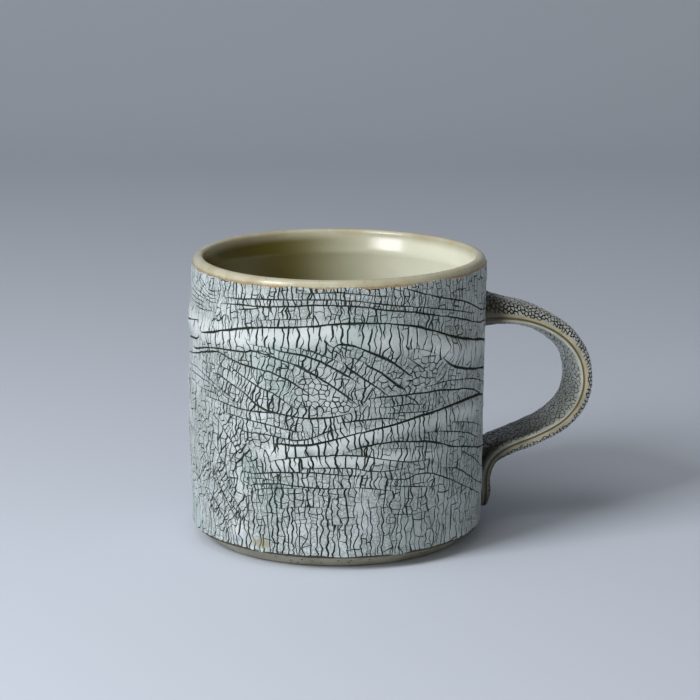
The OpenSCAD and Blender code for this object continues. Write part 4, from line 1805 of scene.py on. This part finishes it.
# %% [markdown]
# ## Wrapping both sheets
# Each tree goes on its flat sheet as a modifier, the result is kept as a plain mesh, and the modifier
# goes. Then the mesh is closed where the triangulation left a small gap, and every edge sharper than
# an angle is kept crisp, so that flakes shade softly and cracks don't.

# %% Wrap the sheets and keep plain meshes
CRISP = math.radians(28)


def run_tree(piece, tree, values):
    """Put a tree on a piece with its inputs set, then keep the result as a plain mesh."""
    modifier = piece.modifiers.new("wrap", "NODES")
    modifier.node_group = tree
    for label, value in values.items():
        item = next(s for s in tree.interface.items_tree if s.name == label and s.in_out == "INPUT")
        modifier[item.identifier] = value
    bpy.context.view_layer.update()
    solid = bpy.data.meshes.new_from_object(piece.evaluated_get(bpy.context.evaluated_depsgraph_get()))
    piece.modifiers.clear()
    piece.data = solid


def close_up(work):
    """Remove the extra face at an edge that has three, and fill any hole."""
    extra = {min(e.link_faces, key=lambda f: f.calc_area()) for e in work.edges if len(e.link_faces) > 2}
    bmesh.ops.delete(work, geom=list(extra), context="FACES_ONLY")
    rims = [e for e in work.edges if len(e.link_faces) == 1]
    if rims:
        filled = bmesh.ops.holes_fill(work, edges=rims, sides=0)["faces"]
        bmesh.ops.triangulate(work, faces=filled)
    if work.calc_volume(signed=True) < 0:
        bmesh.ops.reverse_faces(work, faces=work.faces)


def finish_mesh(piece):
    """Close the mesh, face it outward and shade it. Prints what it came to."""
    work = bmesh.new()
    work.from_mesh(piece.data)
    close_up(work)
    for e in work.edges:
        if len(e.link_faces) == 2 and e.calc_face_angle(0) > CRISP:
            e.smooth = False
    for f in work.faces:
        f.smooth = True
    open_edges = sum(1 for e in work.edges if len(e.link_faces) != 2)
    print(piece.name, len(work.verts), "points", sum(len(f.verts) - 2 for f in work.faces), "triangles,",
          open_edges, "open edges, volume cm3", round(work.calc_volume(signed=True) * 1e6, 1))
    work.to_mesh(piece.data)
    work.free()


def outline_curve(name, points):
    """A straight-sided curve through (x, z) points, in metres."""
    data = bpy.data.curves.new(name, "CURVE")
    data.dimensions = "3D"
    spline = data.splines.new("POLY")
    spline.points.add(len(points) - 1)
    for point, (x, z) in zip(spline.points, points):
        point.co = (x * MM, 0, z * MM, 1)
    curve = bpy.data.objects.new(name, data)
    bpy.context.collection.objects.link(curve)
    return curve


outline = outline_curve("outline", section)
run_tree(cup, wrap, {
    "Outline": outline, "Distance round": ROUND * MM, "Sheet start": SHEET_LOW * MM, "Front turn": FRONT,
    "Flake lift": 0.10 * MM, "Flake tilt": 0.035, "Finish": slip, "Seed": 7})
run_tree(handle, bend, {
    "Path": path_guide, "Section": section_guide, "Girth": girth * MM, "Cup radius": CUP_R * MM,
    "Flake lift": 0.12 * MM, "Flake tilt": 0.05, "Finish": strap_slip, "Seed": 3})
for helper in (outline, path_guide, section_guide):
    bpy.data.objects.remove(helper)
for piece in (cup, handle):
    finish_mesh(piece)

# %% [markdown]
# The cup has three finishes. A face with any point off the slip is glaze in the upper half and bare
# clay in the lower. Both pieces stand for the fired solid, which never moves.

# %% Finishes on the cup, and what each piece stands for
GLAZE_SLOT, CLAY_SLOT = 1, 2
cup.data.materials.append(glaze)
cup.data.materials.append(clay)
coat = cup.data.attributes["coat"].data
up = cup.data.attributes["up"].data
for f in cup.data.polygons:
    if not all(coat[i].value > 0.5 for i in f.vertices):
        f.material_index = GLAZE_SLOT if up[f.vertices[0]].value > 0.5 * CUP_H * MM else CLAY_SLOT
for piece in (cup, handle):
    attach(piece, "root")
    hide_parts("mug")
    print(piece.name, [m.name for m in piece.data.materials])

# %% [markdown]
# ## Floor and light
# A pale sweep and three soft lamps. The main lamp stands to the front left and high, so the wall
# falls away into soft shade towards the handle, as on a potter's table beside a window.

# %% Lamps
LAMPS_AIM = Vector((0, 0, 0.04))


def out_from(turn, rise):
    """The direction that is turned round from the front and raised, both in degrees."""
    turn, rise = math.radians(turn), math.radians(rise)
    return Vector((math.sin(turn) * math.cos(rise), -math.cos(turn) * math.cos(rise), math.sin(rise)))


def area_lamp(name, turn, rise, distance, size, watts, tint=(1, 1, 1)):
    lamp = bpy.data.objects.new(name, bpy.data.lights.new(name, "AREA"))
    lamp.data.shape = "RECTANGLE"
    lamp.data.size, lamp.data.size_y = size
    lamp.data.energy = watts
    lamp.data.color = tint
    away = out_from(turn, rise)
    lamp.location = LAMPS_AIM + away * distance
    lamp.rotation_euler = away.to_track_quat("Z", "Y").to_euler()
    bpy.context.collection.objects.link(lamp)
    print(name, "lamp", watts, "watts")


area_lamp("window", -66, 34, distance=0.9, size=(0.34, 0.4), watts=6.7, tint=(0.97, 0.99, 1.0))
area_lamp("fill", -24, 14, distance=1.3, size=(0.9, 0.7), watts=2.4, tint=(1.0, 0.98, 0.93))
area_lamp("top", -60, 66, distance=1.0, size=(0.6, 0.6), watts=2.6)
world = bpy.data.worlds.new("studio")
bpy.context.scene.world = world
world.use_nodes = True
sky = world.node_tree.nodes["Background"].inputs
sky["Color"].default_value = (1.0, 0.985, 0.945, 1)
sky["Strength"].default_value = 0.17
bpy.context.scene.view_settings.view_transform = "Standard"

# %% A sweep of pale paper
CURVE_FROM, CURVE_R, CURVE_PARTS = 0.7, 0.5, 20
NEAR_END, FAR_END, TOP = -1.2, 1.2, 3.0
HALF_WIDTH = 3.0
paper, tree, shader = new_finish("pale paper")
shader["Base Color"].default_value = screen(198, 205, 217)
shader["Roughness"].default_value = 0.9
bends = [t * math.pi / 2 / CURVE_PARTS for t in range(1, CURVE_PARTS + 1)]
line = [(NEAR_END, 0), (CURVE_FROM, 0)]
line += [(CURVE_FROM + CURVE_R * math.sin(t), CURVE_R - CURVE_R * math.cos(t)) for t in bends]
line += [(FAR_END, TOP)]
from_camera = -Vector((back.x, back.y, 0)).normalized()
sideways = from_camera.cross(Vector((0, 0, 1))) * HALF_WIDTH
corners = [tuple(sideways * s + from_camera * y + Vector((0, 0, z))) for y, z in line for s in (-1, 1)]
sweep = bpy.data.meshes.new("sweep")
sweep.from_pydata(corners, [], [(2 * i, 2 * i + 1, 2 * i + 3, 2 * i + 2) for i in range(len(line) - 1)])
for f in sweep.polygons:
    f.use_smooth = True
sweep.materials.append(paper)
floor = bpy.data.objects.new("floor", sweep)
bpy.context.collection.objects.link(floor)
print("sweep", len(sweep.polygons), "faces")
